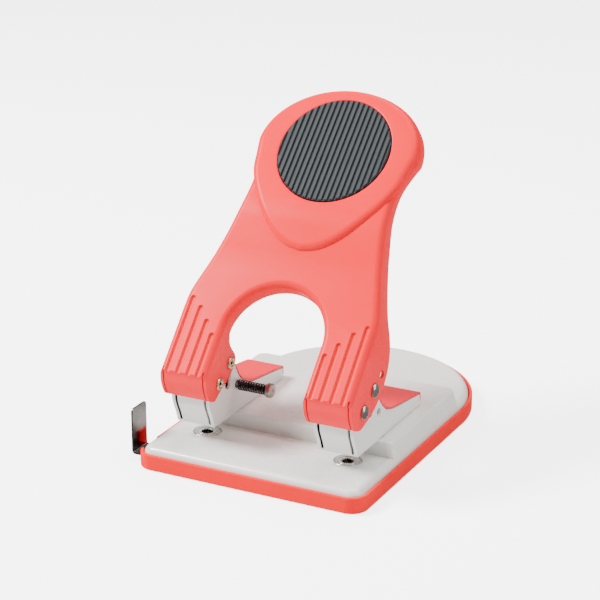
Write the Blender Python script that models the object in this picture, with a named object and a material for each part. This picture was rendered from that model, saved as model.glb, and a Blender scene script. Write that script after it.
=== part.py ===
"""Two-hole desk punch: a sheet-metal lever on two punch heads over a stamped base.

Every size below is in millimetres. The model is built in millimetres and each mesh
is scaled to metres when it becomes an object.

Frame: +Z up, the paper slides in along +Y, +X is the user's right. The origin is on
the surface that the punch stands on, midway between the two punches.
"""

from math import cos, hypot, pi, radians, sin, sqrt

import bmesh
import bpy
from mathutils import Matrix, Vector

MM = 0.001

# Fits
GAP = 0.3            # between pieces that rest on or in each other
RUN = 0.15           # radial clearance of a piece that slides in a bore

# Punch heads
HOLE_SPACING = 80.0
PUNCH_R = 2.8
HEAD_X = HOLE_SPACING / 2

# Base
BASE_HALF = 63.3
BASE_FRONT = -34.3
BASE_REAR_CENTRE = 91.5
BASE_CORNER = 9.0
RIM_TOP = 8.4
RIM_WALL = 1.8
TRAY_FLOOR = 1.6
PLATE_T = 1.2
DECK_Z = 11.5
EDGE_IN = 4.2
EDGE_DROP = 5.0
PLATEAU_RISE = 8.0
PLATEAU_FRONT = 10.9
PLATEAU_REAR = 93.0
PLATEAU_CORNER = 4.0
PLATEAU_DRAFT = 2.6

# Dies
DIE_BOSS_R = 7.0
DIE_FLANGE_R = 9.5
DIE_FLANGE_T = 1.6
DIE_SINK = 0.1         # how far the button's face lies below the deck

# Brackets
SHEET = 1.5
BRACKET_HALF = 10.75
BRACKET_FRONT = -11.2
BRACKET_REAR = 62.8
PANEL_INSET = 3.15     # from the bracket's side to the slit beside its tongue
SLIT = 0.7
SLIT_SILL = 0.4
SLOT_SLACK = 1.5       # degrees of free run at each end of the drive pin's slot
EAR_R = 8.5
PANEL_RISE = 18.0
TAIL_RISE = 7.2
COVER_T = 1.0
COVER_LIP = 5.0
GUIDE_BOSS_R = 4.5
GUIDE_FLANGE_R = 6.0
GUIDE_FLANGE_T = 1.8
RIVET_R = 2.0
RIVET_HEAD_R = 3.6
RIVET_HEAD_T = 1.1
RIVET_Y = (34.0, 54.0)

# Linkage
PIVOT_Y = -10.0
PIVOT_RISE = 23.9
DRIVE_ARM = 13.9
DRIVE_ANGLE = 31.2
STROKE = 52.0
PUNCH_LIFT = 0.1       # extra room between the drive pin and the punch's head
PIN_R = 2.4
PIN_HEAD_R = 3.6
PIN_HEAD_T = 1.9
PIN_TAIL_R = 3.2
PIN_TAIL_T = 0.9
PUNCH_HEAD_R = 5.0
PUNCH_HEAD_T = 3.0
SPRING_WIRE = 1.0
SPRING_R = 3.9
SPRING_TURNS = 6

# Lock pin
LOCK_ARM = 24.2
LOCK_ANGLE = -21.0
LOCK_PIN_R = 1.7
LOCK_HOLE_R = 2.2
LOCK_TIP_CLEAR = 0.8
LOCK_CLIP_T = 0.8
LOCK_CLIP_RING = 2.2
LOCK_STANDOFF = 17.6
LOCK_KNOB_R = 3.75
LOCK_KNOB_T = 3.0
LOCK_WIRE = 0.76
LOCK_SPRING_R = 2.45
LOCK_TURNS = 11

# Lever
LEVER_TILT = 47.2
LEVER_FOOT_Y = -24.4
LEVER_FOOT_RISE = 33.0
LEG_CLEAR = 0.75       # between a leg's flange and the bracket inside it
LEG_SLIT_DEPTH = 7.4
LEVER_TOP = 169.5
HEAD_HALF = 45.4
HEAD_CENTRE = 133.0
# Bends along the face, the far one first: (start, end, degrees that it leans back)
FACE_BENDS = ((88.0, 100.0, 8.2), (58.0, 72.0, -4.0))
BEND_STEPS = 4
ARCH_CENTRE = 27.5
ARCH_SIDE_DEPTH = 9.4
EDGE_ROUND = 3.2
TONGUE_RISE = 1.6
TONGUE_FOOT = 74.0
TONGUE_MARGIN = 2.6
TONGUE_RAMP = 1.4
PAD_CENTRE = 131.0
PAD_R = 30.0
PAD_T = 2.6
PAD_RIB_PITCH = 3.0
PAD_GROOVE = 0.8
PAD_GROOVE_DEPTH = 0.7
FLUTE_DEPTH = 0.9
FLUTE_WIDTH = 3.0
FLUTE_TOPS = {8.5: 41.5, 2.6: 37.0, -3.3: 30.3, -8.6: 23.6}

# Paper guide
GUIDE_FRONT = -26.0
GUIDE_WIDTH = 13.5
GUIDE_T = 1.0
GUIDE_Z = 3.0
GUIDE_TAB_OUT = 6.2     # how far the stop stands off the tray
GUIDE_TAB_TOP = 27.6
GUIDE_TAIL_IN = 18.3
GUIDE_CORNER = 2.0
CHANNEL_IN = 11.3       # from the tray's side to the channel's end
CHANNEL_LENGTH = 30.0
CHANNEL_T = 0.9
CHANNEL_BOTTOM_T = 0.7
LEAF_T = 0.4
LEAF_INSET = 2.0

# Worked out from the sizes above
PLATEAU_Z = DECK_Z + PLATEAU_RISE
PLATE_OUT = RIM_WALL + GAP
PANEL_HALF = BRACKET_HALF - PANEL_INSET
LEG_HALF = BRACKET_HALF + LEG_CLEAR + SHEET
GUIDE_TAB_X = -BASE_HALF - GUIDE_TAB_OUT
GUIDE_TAIL_X = BASE_HALF - GUIDE_TAIL_IN
CHANNEL_LEFT = -BASE_HALF + CHANNEL_IN
CHANNEL_RIGHT = CHANNEL_LEFT + CHANNEL_LENGTH
BRACKET_Z = PLATEAU_Z + GAP
PIVOT_Z = PLATEAU_Z + PIVOT_RISE
DRIVE_Y = PIVOT_Y + DRIVE_ARM * cos(radians(DRIVE_ANGLE))
DRIVE_Z = PIVOT_Z + DRIVE_ARM * sin(radians(DRIVE_ANGLE))
LOCK_Y = PIVOT_Y + LOCK_ARM * cos(radians(LOCK_ANGLE))
LOCK_Z = PIVOT_Z + LOCK_ARM * sin(radians(LOCK_ANGLE))
LEG_INNER = HEAD_X - LEG_HALF
LEG_OUTER = HEAD_X + LEG_HALF
LEVER_FOOT_Z = PLATEAU_Z + LEVER_FOOT_RISE

RED = (0.93, 0.13, 0.10)
PALE = (0.72, 0.71, 0.67)


# ---------------------------------------------------------------- helpers

def material(name, colour, roughness, metallic):
    """A plain Principled material."""
    mat = bpy.data.materials.get(name) or bpy.data.materials.new(name)
    mat.use_nodes = True
    shader = mat.node_tree.nodes["Principled BSDF"]
    shader.inputs["Base Color"].default_value = (*colour, 1.0)
    shader.inputs["Roughness"].default_value = roughness
    shader.inputs["Metallic"].default_value = metallic
    return mat


def red_paint():
    return material("red_paint", RED, 0.3, 0.0)


def red_plastic():
    return material("red_plastic", (0.95, 0.11, 0.08), 0.4, 0.0)


def pale_paint():
    return material("pale_paint", PALE, 0.3, 0.0)


def steel():
    return material("steel", (0.6, 0.6, 0.6), 0.3, 1.0)


def brass():
    return material("brass", (0.75, 0.62, 0.38), 0.3, 1.0)


def dark_steel():
    return material("dark_steel", (0.03, 0.03, 0.03), 0.35, 1.0)


def chrome():
    return material("chrome", (0.8, 0.8, 0.8), 0.08, 1.0)


def rubber():
    return material("rubber", (0.09, 0.10, 0.11), 0.7, 0.0)


def smooth(points, steps=4):
    """Points on a smooth curve through the given ones, ends included."""
    curve = []
    last = len(points) - 1
    for i in range(last):
        p0 = points[max(i - 1, 0)]
        p1 = points[i]
        p2 = points[i + 1]
        p3 = points[min(i + 2, last)]
        for step in range(steps):
            t = step / steps
            curve.append(tuple(
                0.5 * (2 * b + (c - a) * t + (2 * a - 5 * b + 4 * c - d) * t * t
                       + (3 * b - a - 3 * c + d) * t ** 3)
                for a, b, c, d in zip(p0, p1, p2, p3)))
    curve.append(points[-1])
    return curve


def arc(centre, radius, start, end, steps, radius_y=None):
    """Points on an arc, or on an ellipse's arc, angles in degrees."""
    radius_y = radius if radius_y is None else radius_y
    points = []
    for i in range(steps + 1):
        angle = radians(start + (end - start) * i / steps)
        points.append((centre[0] + radius * cos(angle), centre[1] + radius_y * sin(angle)))
    return points


def offset(points, distance):
    """An open line moved sideways, to its left for a positive distance."""
    moved = []
    for i, point in enumerate(points):
        before = points[max(i - 1, 0)]
        after = points[min(i + 1, len(points) - 1)]
        along = (after[0] - before[0], after[1] - before[1])
        length = hypot(*along)
        moved.append((point[0] - along[1] / length * distance,
                      point[1] + along[0] / length * distance))
    return moved


def new_object(name, bm):
    """An object that holds a bmesh, still in millimetres."""
    bmesh.ops.remove_doubles(bm, verts=bm.verts, dist=0.0005)
    bmesh.ops.recalc_face_normals(bm, faces=bm.faces)
    mesh = bpy.data.meshes.new(name)
    bm.to_mesh(mesh)
    bm.free()
    obj = bpy.data.objects.new(name, mesh)
    bpy.context.collection.objects.link(obj)
    return obj


def loft(name, rings):
    """A solid through rings of points, each with the same number of points."""
    bm = bmesh.new()
    loops = []
    for ring in rings:
        verts = [bm.verts.new(point) for point in ring]
        loops.append([bm.edges.new((a, b)) for a, b in zip(verts, verts[1:] + verts[:1])])
    for lower, upper in zip(loops, loops[1:]):
        bmesh.ops.bridge_loops(bm, edges=lower + upper)
    for loop in (loops[0], loops[-1]):
        bmesh.ops.contextual_create(bm, geom=loop)
    bmesh.ops.connect_verts_nonplanar(bm, angle_limit=radians(0.01), faces=bm.faces)
    return new_object(name, bm)


def prism(name, outline, axis, low, high):
    """An outline pushed along X, Y or Z. It is given in the other two axes' order."""
    places = {"X": lambda p, h: (h, p[0], p[1]),
              "Y": lambda p, h: (p[0], h, p[1]),
              "Z": lambda p, h: (p[0], p[1], h)}
    place = places[axis]
    bm = bmesh.new()
    face = bm.faces.new([bm.verts.new(place(point, low)) for point in outline])
    pushed = bmesh.ops.extrude_face_region(bm, geom=[face])
    verts = [item for item in pushed["geom"] if isinstance(item, bmesh.types.BMVert)]
    travel = {"X": (high - low, 0, 0), "Y": (0, high - low, 0), "Z": (0, 0, high - low)}
    bmesh.ops.translate(bm, verts=verts, vec=travel[axis])
    return new_object(name, bm)


def box(name, x, y, z):
    """A block between two limits on each axis."""
    return prism(name, [(x[0], y[0]), (x[1], y[0]), (x[1], y[1]), (x[0], y[1])], "Z", *z)


def turned(name, profile, segments, centre, axis="Z"):
    """A turned solid. The profile lists (radius, height) from bottom to top."""
    bm = bmesh.new()
    verts = [bm.verts.new((radius, 0, height)) for radius, height in profile]
    edges = [bm.edges.new(pair) for pair in zip(verts, verts[1:] + verts[:1])]
    bmesh.ops.spin(bm, geom=verts + edges, cent=(0, 0, 0), axis=(0, 0, 1),
                   angle=2 * pi, steps=segments, use_merge=True)
    bmesh.ops.remove_doubles(bm, verts=bm.verts, dist=0.0005)
    bmesh.ops.dissolve_degenerate(bm, dist=0.0005, edges=bm.edges)
    axle = [edge for edge in bm.edges if not edge.link_faces]
    bmesh.ops.delete(bm, geom=axle, context="EDGES")
    turn = Matrix.Rotation(pi / 2, 4, "Y") if axis == "X" else Matrix.Identity(4)
    bm.transform(Matrix.Translation(centre) @ turn)
    return new_object(name, bm)


def rod(name, radius, centre, axis, low, high, segments=24):
    """A plain round bar along X or Z, used as a piece or to cut a hole."""
    reach = [(0, low), (radius, low), (radius, high), (0, high)]
    return turned(name, reach, segments, centre, axis)


def combine(target, tool, operation):
    """Boolean of two objects. The tool is used up."""
    modifier = target.modifiers.new("combine", "BOOLEAN")
    modifier.operation = operation
    modifier.solver = "EXACT"
    modifier.object = tool
    graph = bpy.context.evaluated_depsgraph_get()
    result = bpy.data.meshes.new_from_object(target.evaluated_get(graph))
    target.modifiers.clear()
    target.data = result
    bpy.data.objects.remove(tool)
    return target


def add(target, tool):
    return combine(target, tool, "UNION")


def cut(target, tool):
    return combine(target, tool, "DIFFERENCE")


def finish(obj, mat, origin=(0, 0, 0), sharp=35.0, parent=None):
    """Turn a millimetre solid into a finished piece whose origin is given."""
    bm = bmesh.new()
    bm.from_mesh(obj.data)
    bmesh.ops.remove_doubles(bm, verts=bm.verts, dist=0.002)
    bmesh.ops.dissolve_degenerate(bm, dist=0.002, edges=bm.edges)
    bmesh.ops.dissolve_limit(bm, angle_limit=radians(0.3), verts=bm.verts, edges=bm.edges)
    bmesh.ops.triangulate(bm, faces=bm.faces)
    bm.to_mesh(obj.data)
    bm.free()
    mesh = obj.data
    mesh.transform(Matrix.Translation(-Vector(origin)))
    mesh.transform(Matrix.Scale(MM, 4))
    mesh.materials.clear()
    mesh.materials.append(mat)
    mesh.shade_smooth()
    mesh.set_sharp_from_angle(angle=radians(sharp))
    obj.location = Vector(origin) * MM
    if parent is not None:
        obj.parent = parent
        obj.location = Vector(origin) * MM - parent.location
    return obj


def empty(name, place):
    """An empty on a joint's axis."""
    obj = bpy.data.objects.new(name, None)
    obj.location = Vector(place) * MM
    bpy.context.collection.objects.link(obj)
    return obj


def coil(name, radius, wire, turns, length, steps=9, sides=5):
    """A coil spring along +Z from the origin, with closed ends."""
    bm = bmesh.new()
    section = bmesh.ops.create_circle(bm, cap_ends=True, segments=sides, radius=wire / 2)
    upright = Matrix.Translation((radius, 0, wire / 2)) @ Matrix.Rotation(pi / 2, 4, "X")
    bmesh.ops.transform(bm, matrix=upright, verts=section["verts"])
    faces = list(bm.faces)
    bmesh.ops.spin(bm, geom=faces, cent=(0, 0, 0), axis=(0, 0, 1), angle=2 * pi * turns,
                   steps=int(steps * turns), dvec=(0, 0, (length - wire) / (steps * turns)))
    return new_object(name, bm)


# ---------------------------------------------------------------- base

def base_outline(inset):
    """The base seen from above: straight sides, round front corners, a half-round rear."""
    half = BASE_HALF - inset
    front = BASE_FRONT + inset
    corner = BASE_CORNER - inset
    left = arc((-half + corner, front + corner), corner, 180, 270, 4)
    right = arc((half - corner, front + corner), corner, 270, 360, 4)
    rear = arc((0, BASE_REAR_CENTRE), half, 0, 180, 24)
    return left + right + rear


def base_ring(inset, z):
    return [(x, y, z) for x, y in base_outline(inset)]


def plateau_ring(inset, z):
    """The raised part of the plate, whose walls lean in as they rise."""
    half = BASE_HALF - PLATE_OUT - inset
    front = PLATEAU_FRONT + inset / 3
    rear = PLATEAU_REAR - inset / 3
    corners = [((half, front), 270), ((half, rear), 0), ((-half, rear), 90), ((-half, front), 180)]
    ring = []
    for (x, y), start in corners:
        centre = (x - PLATEAU_CORNER * (1 if x > 0 else -1),
                  y - PLATEAU_CORNER * (1 if y == rear else -1))
        ring += [(px, py, z) for px, py in arc(centre, PLATEAU_CORNER, start, start + 90, 4)]
    return ring


def lower_shell(name, wall, bottom):
    rings = [base_ring(PLATE_OUT + wall, bottom)]
    for i in range(4):
        angle = pi / 2 * i / 3
        rings.append(base_ring(PLATE_OUT + wall + EDGE_IN * (1 - cos(angle)),
                               DECK_Z - EDGE_DROP + EDGE_DROP * sin(angle) - wall))
    return loft(name, rings)


def plateau_shell(name, wall, bottom):
    top = EDGE_IN - PLATEAU_DRAFT
    rings = [plateau_ring(wall + 0.2, bottom), plateau_ring(wall + 0.3, RIM_TOP)]
    for i in range(4):
        angle = pi / 2 * i / 3
        rings.append(plateau_ring(wall + PLATEAU_DRAFT + top * (1 - cos(angle)),
                                  PLATEAU_Z - wall - top * (1 - sin(angle))))
    return loft(name, rings)


def build_base_plate():
    """Stamped steel plate: low front and rear decks and a raised middle."""
    plate = lower_shell("base_plate", 0, TRAY_FLOOR + GAP)
    add(plate, plateau_shell("raise", 0, RIM_TOP - 2))
    hollow = lower_shell("hollow", PLATE_T, -1)
    add(hollow, plateau_shell("hollow_raise", PLATE_T, -2))
    cut(plate, hollow)
    for side in (-1, 1):
        x = side * HEAD_X
        cut(plate, rod("die_hole", DIE_BOSS_R + GAP, (x, 0, 0), "Z", 0, DECK_Z + 5, 24))
        for y in RIVET_Y:
            cut(plate, rod("rivet_hole", RIVET_R + GAP, (x, y, 0), "Z", 0, PLATEAU_Z + 5, 12))
    notch_y = (GUIDE_FRONT - 2 * GAP, GUIDE_FRONT + GUIDE_WIDTH + 2 * GAP)
    cut(plate, box("notch", (-BASE_HALF - 1, -BASE_HALF + 6), notch_y,
                   (0, GUIDE_Z + GUIDE_T + 2 * GAP)))
    finish(plate, pale_paint())


def build_chip_tray():
    """Red moulded tray under the plate. It catches the chips and is the foot."""
    tray = loft("chip_tray", [base_ring(0.8, 0), base_ring(0, 0.8), base_ring(0, RIM_TOP - 0.6),
                              base_ring(0.6, RIM_TOP)])
    inner = [base_ring(RIM_WALL, TRAY_FLOOR), base_ring(RIM_WALL, RIM_TOP + 1)]
    cut(tray, loft("inner", inner))
    notch_y = (GUIDE_FRONT - 3 * GAP, GUIDE_FRONT + GUIDE_WIDTH + 3 * GAP)
    cut(tray, box("notch", (-BASE_HALF - 1, -BASE_HALF + RIM_WALL + 1), notch_y,
                  (GUIDE_Z - GAP, RIM_TOP + 1)))
    finish(tray, red_plastic())


def build_die(name, x):
    """Hardened die button under the deck, with the hole the punch enters."""
    seat = DECK_Z - PLATE_T - GAP
    hole = PUNCH_R + RUN
    profile = [(hole, seat - DIE_FLANGE_T), (DIE_FLANGE_R, seat - DIE_FLANGE_T),
               (DIE_FLANGE_R, seat), (DIE_BOSS_R, seat), (DIE_BOSS_R, DECK_Z - DIE_SINK),
               (hole, DECK_Z - DIE_SINK)]
    finish(turned(name, profile, 24, (x, 0, 0)), steel(), (x, 0, DECK_Z))


# ---------------------------------------------------------------- brackets

def cover_line():
    """The cover's outer face from its upper end to the tail's rear edge, as (y, z)."""
    rise = PLATEAU_Z
    tail = rise + TAIL_RISE
    return smooth([(11.8, rise + 26.6), (14.9, rise + 21.1), (19.1, rise + 16.6),
                   (24.6, rise + 13.5), (32.0, rise + 11.6), (BRACKET_REAR - 9, tail + 1.4),
                   (BRACKET_REAR + GAP, tail)], 3)


def front_line():
    """The bracket's front edge from the bottom corner up to the lever's foot, as (y, z)."""
    z = BRACKET_Z
    return smooth([(BRACKET_FRONT, z), (BRACKET_FRONT - 1.5, z + 4.6), (BRACKET_FRONT - 3.4, z + 8.8),
                   (BRACKET_FRONT - 5.0, z + 12.9), (BRACKET_FRONT - 5.7, z + PANEL_RISE)], 3)


def bracket_outline():
    """The bracket from the side, as (y, z)."""
    under_cover = offset(cover_line(), -(COVER_T + GAP))
    ear = arc((PIVOT_Y, PIVOT_Z), EAR_R, 105, 190, 7)
    top_z = DRIVE_Z + PIN_R + GAP + 2.4
    crown = smooth([(DRIVE_Y + 8.3, DRIVE_Z + 0.2), (DRIVE_Y + 6.0, DRIVE_Z + 3.6),
                    (DRIVE_Y + 1.5, top_z), (DRIVE_Y - 3.0, top_z - 0.4), ear[0]], 3)
    tail = [(BRACKET_REAR, BRACKET_Z), (BRACKET_REAR, under_cover[-1][1])]
    rear = [point for point in reversed(under_cover) if point[0] < BRACKET_REAR - 1]
    return front_line()[:1] + tail + rear + crown[:-1] + ear + front_line()[:0:-1]


def slot_outline(radius, half_width, start, end):
    """A slot that follows an arc about the lever's pivot, as (y, z)."""
    centre = (PIVOT_Y, PIVOT_Z)
    tips = []
    for angle in (end, start):
        tips.append((PIVOT_Y + radius * cos(radians(angle)), PIVOT_Z + radius * sin(radians(angle))))
    outline = arc(centre, radius + half_width, start, end, 7)
    outline += arc(tips[0], half_width, end, end + 180, 4)[1:-1]
    outline += arc(centre, radius - half_width, end, start, 7)
    outline += arc(tips[1], half_width, start + 180, start + 360, 4)[1:-1]
    return outline


def build_bracket(name, x):
    """Folded steel bracket: floor, two side plates and a front tongue."""
    bracket = prism(name, bracket_outline(), "X", x - BRACKET_HALF, x + BRACKET_HALF)
    inner_front = offset(front_line(), -SHEET)
    floor = BRACKET_Z + SHEET
    panel_top = BRACKET_Z + PANEL_RISE - 1.0
    rising = [point for point in inner_front if floor < point[1] < panel_top]
    inside = [(rising[0][0] + 0.4, floor), (90, floor), (90, 90), (-40, 90), (-40, panel_top),
              (rising[-1][0], panel_top)] + rising[::-1]
    inner_half = BRACKET_HALF - SHEET
    cut(bracket, prism("inside", inside, "X", x - inner_half, x + inner_half))
    for side in (-1, 1):
        near = x + side * PANEL_HALF
        far = near + side * SLIT
        cut(bracket, box("slit", (min(near, far), max(near, far)), (-40, BRACKET_FRONT + 2.2),
                         (floor - SLIT_SILL, panel_top + 2)))
        for radius, y, z in ((PIN_R + 2 * RUN, PIVOT_Y, PIVOT_Z), (LOCK_HOLE_R, LOCK_Y, LOCK_Z)):
            plate_x = x + side * (BRACKET_HALF - SHEET / 2)
            cut(bracket, rod("cross_hole", radius, (plate_x, y, z), "X", -SHEET, SHEET, 16))
    slot = slot_outline(DRIVE_ARM, PIN_R + 2 * RUN, DRIVE_ANGLE - STROKE - SLOT_SLACK,
                        DRIVE_ANGLE + SLOT_SLACK)
    cut(bracket, prism("drive_slot", slot, "X", x - BRACKET_HALF - 1, x + BRACKET_HALF + 1))
    cut(bracket, rod("guide_hole", GUIDE_BOSS_R + GAP, (x, 0, 0), "Z", BRACKET_Z - 1, floor + 1))
    for y in RIVET_Y:
        cut(bracket, rod("rivet_hole", RIVET_R + GAP, (x, y, 0), "Z", BRACKET_Z - 1, floor + 1, 12))
    finish(bracket, pale_paint(), (x, 0, BRACKET_Z))


def build_cover(name, x):
    """Red cover over the bracket's tail, with a lip folded down behind it."""
    outer = cover_line()
    inner = offset(outer, -COVER_T)
    lip_y = BRACKET_REAR + GAP
    lip_z = outer[-1][1] - COVER_LIP
    bend = arc((lip_y, outer[-1][1] - COVER_T), COVER_T, 90, 0, 3)
    outline = outer[:-1] + bend + [(lip_y + COVER_T, lip_z), (lip_y, lip_z),
                                   (lip_y, inner[-1][1])] + inner[-2::-1]
    cover = prism(name, outline, "X", x - BRACKET_HALF, x + BRACKET_HALF)
    finish(cover, red_plastic(), (x, lip_y, PLATEAU_Z + TAIL_RISE))


def build_punch_guide(name, x):
    """Brass bush in the bracket's floor that the punch slides in."""
    bottom = BRACKET_Z
    seat = BRACKET_Z + SHEET + GAP
    bore = PUNCH_R + RUN
    profile = [(bore, bottom), (GUIDE_BOSS_R, bottom), (GUIDE_BOSS_R, seat),
               (GUIDE_FLANGE_R, seat), (GUIDE_FLANGE_R, seat + GUIDE_FLANGE_T),
               (bore, seat + GUIDE_FLANGE_T)]
    finish(turned(name, profile, 20, (x, 0, 0)), brass(), (x, 0, bottom))


def build_rivet(name, x, y):
    """Rivet that holds a bracket's floor to the plate."""
    low = PLATEAU_Z - PLATE_T - GAP
    high = BRACKET_Z + SHEET + GAP
    profile = [(0, low - RIVET_HEAD_T), (RIVET_HEAD_R * 0.7, low - RIVET_HEAD_T),
               (RIVET_HEAD_R, low), (RIVET_R, low), (RIVET_R, high), (RIVET_HEAD_R, high),
               (RIVET_HEAD_R * 0.7, high + RIVET_HEAD_T), (0, high + RIVET_HEAD_T)]
    finish(turned(name, profile, 12, (x, y, 0)), steel(), (x, y, low))


# ---------------------------------------------------------------- punches and pins

def build_punch(name, x):
    """Hardened punch with a flat head that the drive pin presses on."""
    tip = BRACKET_Z + GAP
    head_top = DRIVE_Z - PIN_R - GAP - PUNCH_LIFT
    head = head_top - PUNCH_HEAD_T
    profile = [(0, tip + 0.5), (PUNCH_R - 0.6, tip), (PUNCH_R, tip), (PUNCH_R, head),
               (PUNCH_HEAD_R, head), (PUNCH_HEAD_R, head_top - 0.6),
               (PUNCH_HEAD_R - 0.6, head_top), (0, head_top)]
    finish(turned(name, profile, 20, (x, 0, 0)), steel(), (x, 0, tip))


def build_punch_spring(name, x):
    """Spring that lifts the punch and, through it, the lever."""
    low = BRACKET_Z + SHEET + GUIDE_FLANGE_T + 2 * GAP
    high = DRIVE_Z - PIN_R - 2 * GAP - PUNCH_LIFT - PUNCH_HEAD_T
    spring = coil(name, SPRING_R, SPRING_WIRE, SPRING_TURNS, high - low)
    spring.data.transform(Matrix.Translation((x, 0, low)))
    finish(spring, steel(), (x, 0, low), 80)


def build_cross_pin(name, side, y, z, parent):
    """Pin across one leg of the lever: a domed head outside, a rolled end inside."""
    outer = LEG_HALF + GAP
    dome = arc((0, outer), PIN_HEAD_R, 0, 90, 3, PIN_HEAD_T)
    profile = [(0, -outer - PIN_TAIL_T), (PIN_TAIL_R - 0.4, -outer - PIN_TAIL_T),
               (PIN_TAIL_R, -outer - PIN_TAIL_T / 2), (PIN_TAIL_R, -outer), (PIN_R, -outer),
               (PIN_R, outer)] + dome[:-1] + [(0, outer + PIN_HEAD_T)]
    pin = turned(name, profile, 18, (0, 0, 0), "X")
    if side < 0:
        pin.data.transform(Matrix.Rotation(pi, 4, "Z"))
    pin.data.transform(Matrix.Translation((side * HEAD_X, y, z)))
    finish(pin, steel(), (side * HEAD_X, y, z), parent=parent)


# ---------------------------------------------------------------- lock

def build_lock():
    """Sprung lock pin in the left bracket's inner side plate, with its clip."""
    wall = -HEAD_X + BRACKET_HALF
    knob = wall + LOCK_STANDOFF
    tip = -HEAD_X - BRACKET_HALF + SHEET + LOCK_TIP_CLEAR
    profile = [(0, tip), (LOCK_PIN_R - 0.5, tip), (LOCK_PIN_R, tip + 0.8), (LOCK_PIN_R, knob),
               (LOCK_KNOB_R - 0.4, knob), (LOCK_KNOB_R, knob + 0.4),
               (LOCK_KNOB_R, knob + LOCK_KNOB_T - 0.5), (LOCK_KNOB_R - 0.5, knob + LOCK_KNOB_T),
               (0, knob + LOCK_KNOB_T)]
    place = (0, LOCK_Y, LOCK_Z)
    finish(turned("lock_pin", profile, 18, place, "X"), steel(), (knob, LOCK_Y, LOCK_Z))
    inside = wall - SHEET - GAP
    ring = [(LOCK_PIN_R + RUN, inside - LOCK_CLIP_T),
            (LOCK_PIN_R + LOCK_CLIP_RING, inside - LOCK_CLIP_T),
            (LOCK_PIN_R + LOCK_CLIP_RING, inside), (LOCK_PIN_R + RUN, inside)]
    finish(turned("lock_pin_clip", ring, 16, place, "X"), dark_steel(), (inside, LOCK_Y, LOCK_Z))
    spring = coil("lock_spring", LOCK_SPRING_R, LOCK_WIRE, LOCK_TURNS, LOCK_STANDOFF - 2 * GAP)
    spring.data.transform(Matrix.Translation((wall + GAP, LOCK_Y, LOCK_Z))
                          @ Matrix.Rotation(pi / 2, 4, "Y"))
    finish(spring, dark_steel(), (wall + GAP, LOCK_Y, LOCK_Z), 80)


# ---------------------------------------------------------------- lever
# The lever is drawn flat: x across, y up its slope from the foot, z out of its face.

def lever_frame():
    """Takes the flat lever to its place at rest."""
    tilt = Matrix.Rotation(radians(LEVER_TILT), 4, "X")
    return Matrix.Translation((0, LEVER_FOOT_Y, LEVER_FOOT_Z)) @ tilt


def on_lever(y, z):
    """A world point (y, z) as (along, out) on the flat lever."""
    point = lever_frame().inverted() @ Vector((0, y, z))
    return point.y, point.z


def bend_face(obj):
    """Bend the flat lever: steeper above its legs, then leaning back at its head."""
    for start, end, degrees in FACE_BENDS:
        length = end - start
        radius = length / radians(degrees)
        bm = bmesh.new()
        bm.from_mesh(obj.data)
        for i in range(BEND_STEPS + 1):
            place = (0, start + length * i / BEND_STEPS, 0)
            bmesh.ops.bisect_plane(bm, geom=list(bm.verts) + list(bm.edges) + list(bm.faces),
                                   dist=0.0005, plane_co=place, plane_no=(0, 1, 0))
        for vert in bm.verts:
            past = vert.co.y - start
            run = min(max(past, 0.0), length)
            beyond = past - run
            angle = run / radius
            reach = radius + vert.co.z
            vert.co.y = start + reach * sin(angle) + beyond * cos(angle)
            vert.co.z = reach * cos(angle) - radius - beyond * sin(angle)
        bm.to_mesh(obj.data)
        bm.free()


def lever_half(inset, foot):
    """The lever's right edge from the leg's outer foot up to the top of the head."""
    x = LEG_OUTER - inset
    side = smooth([(x, 26.0), (x, 36.0), (x - 0.5, 44.0), (x - 2.8, 53.0), (x - 6.8, 67.0),
                   (x - 10.4, 83.0), (x - 12.8, 100.0), (x - 13.0, 114.0), (x - 10.7, 124.0),
                   (HEAD_HALF - inset, HEAD_CENTRE)], 2)
    rise = LEVER_TOP - HEAD_CENTRE - inset
    head = arc((0, HEAD_CENTRE), HEAD_HALF - inset, 0, 90, 8, rise)
    return [(x, foot)] + side[:-1] + head


def lever_outline(inset, foot):
    """The whole face: two legs, the arch between them, the waist and the head."""
    right = lever_half(inset, foot)
    left = [(-x, y) for x, y in reversed(right[:-1])]
    radius = LEG_INNER + inset
    arch = arc((0, ARCH_CENTRE), radius, 180, 0, 16)
    return right + left + [(-radius, foot)] + arch + [(radius, foot)]


def edge_block(name, inset, foot, top, depth, radius, segments):
    """The lever's face as a block whose upper edges are rounded, the feet's aside."""
    block = prism(name, lever_outline(inset, foot), "Z", -depth, top)
    bm = bmesh.new()
    bm.from_mesh(block.data)
    rim = []
    for edge in bm.edges:
        on_top = all(abs(vert.co.z - top) < 0.01 for vert in edge.verts)
        at_foot = all(abs(vert.co.y - foot) < 0.01 for vert in edge.verts)
        if on_top and not at_foot:
            rim.append(edge)
    bmesh.ops.bevel(bm, geom=rim, offset=radius, segments=segments, profile=0.5, affect="EDGES",
                    clamp_overlap=True, material=-1)
    bm.to_mesh(block.data)
    bm.free()
    return block


def lever_foot_line(inset):
    """The leg's front below the face: upright, then curving in to its lower edge."""
    line = [(LEVER_FOOT_Y + 0.2, 6.0), (LEVER_FOOT_Y, 0.0), (LEVER_FOOT_Y + 0.9, -2.4),
            (LEVER_FOOT_Y + 1.0, -6.5), (LEVER_FOOT_Y + 2.1, -10.4), (LEVER_FOOT_Y + 4.4, -14.9)]
    moved = offset(line, inset)
    return [on_lever(y, LEVER_FOOT_Z + z) for y, z in moved]


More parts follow.
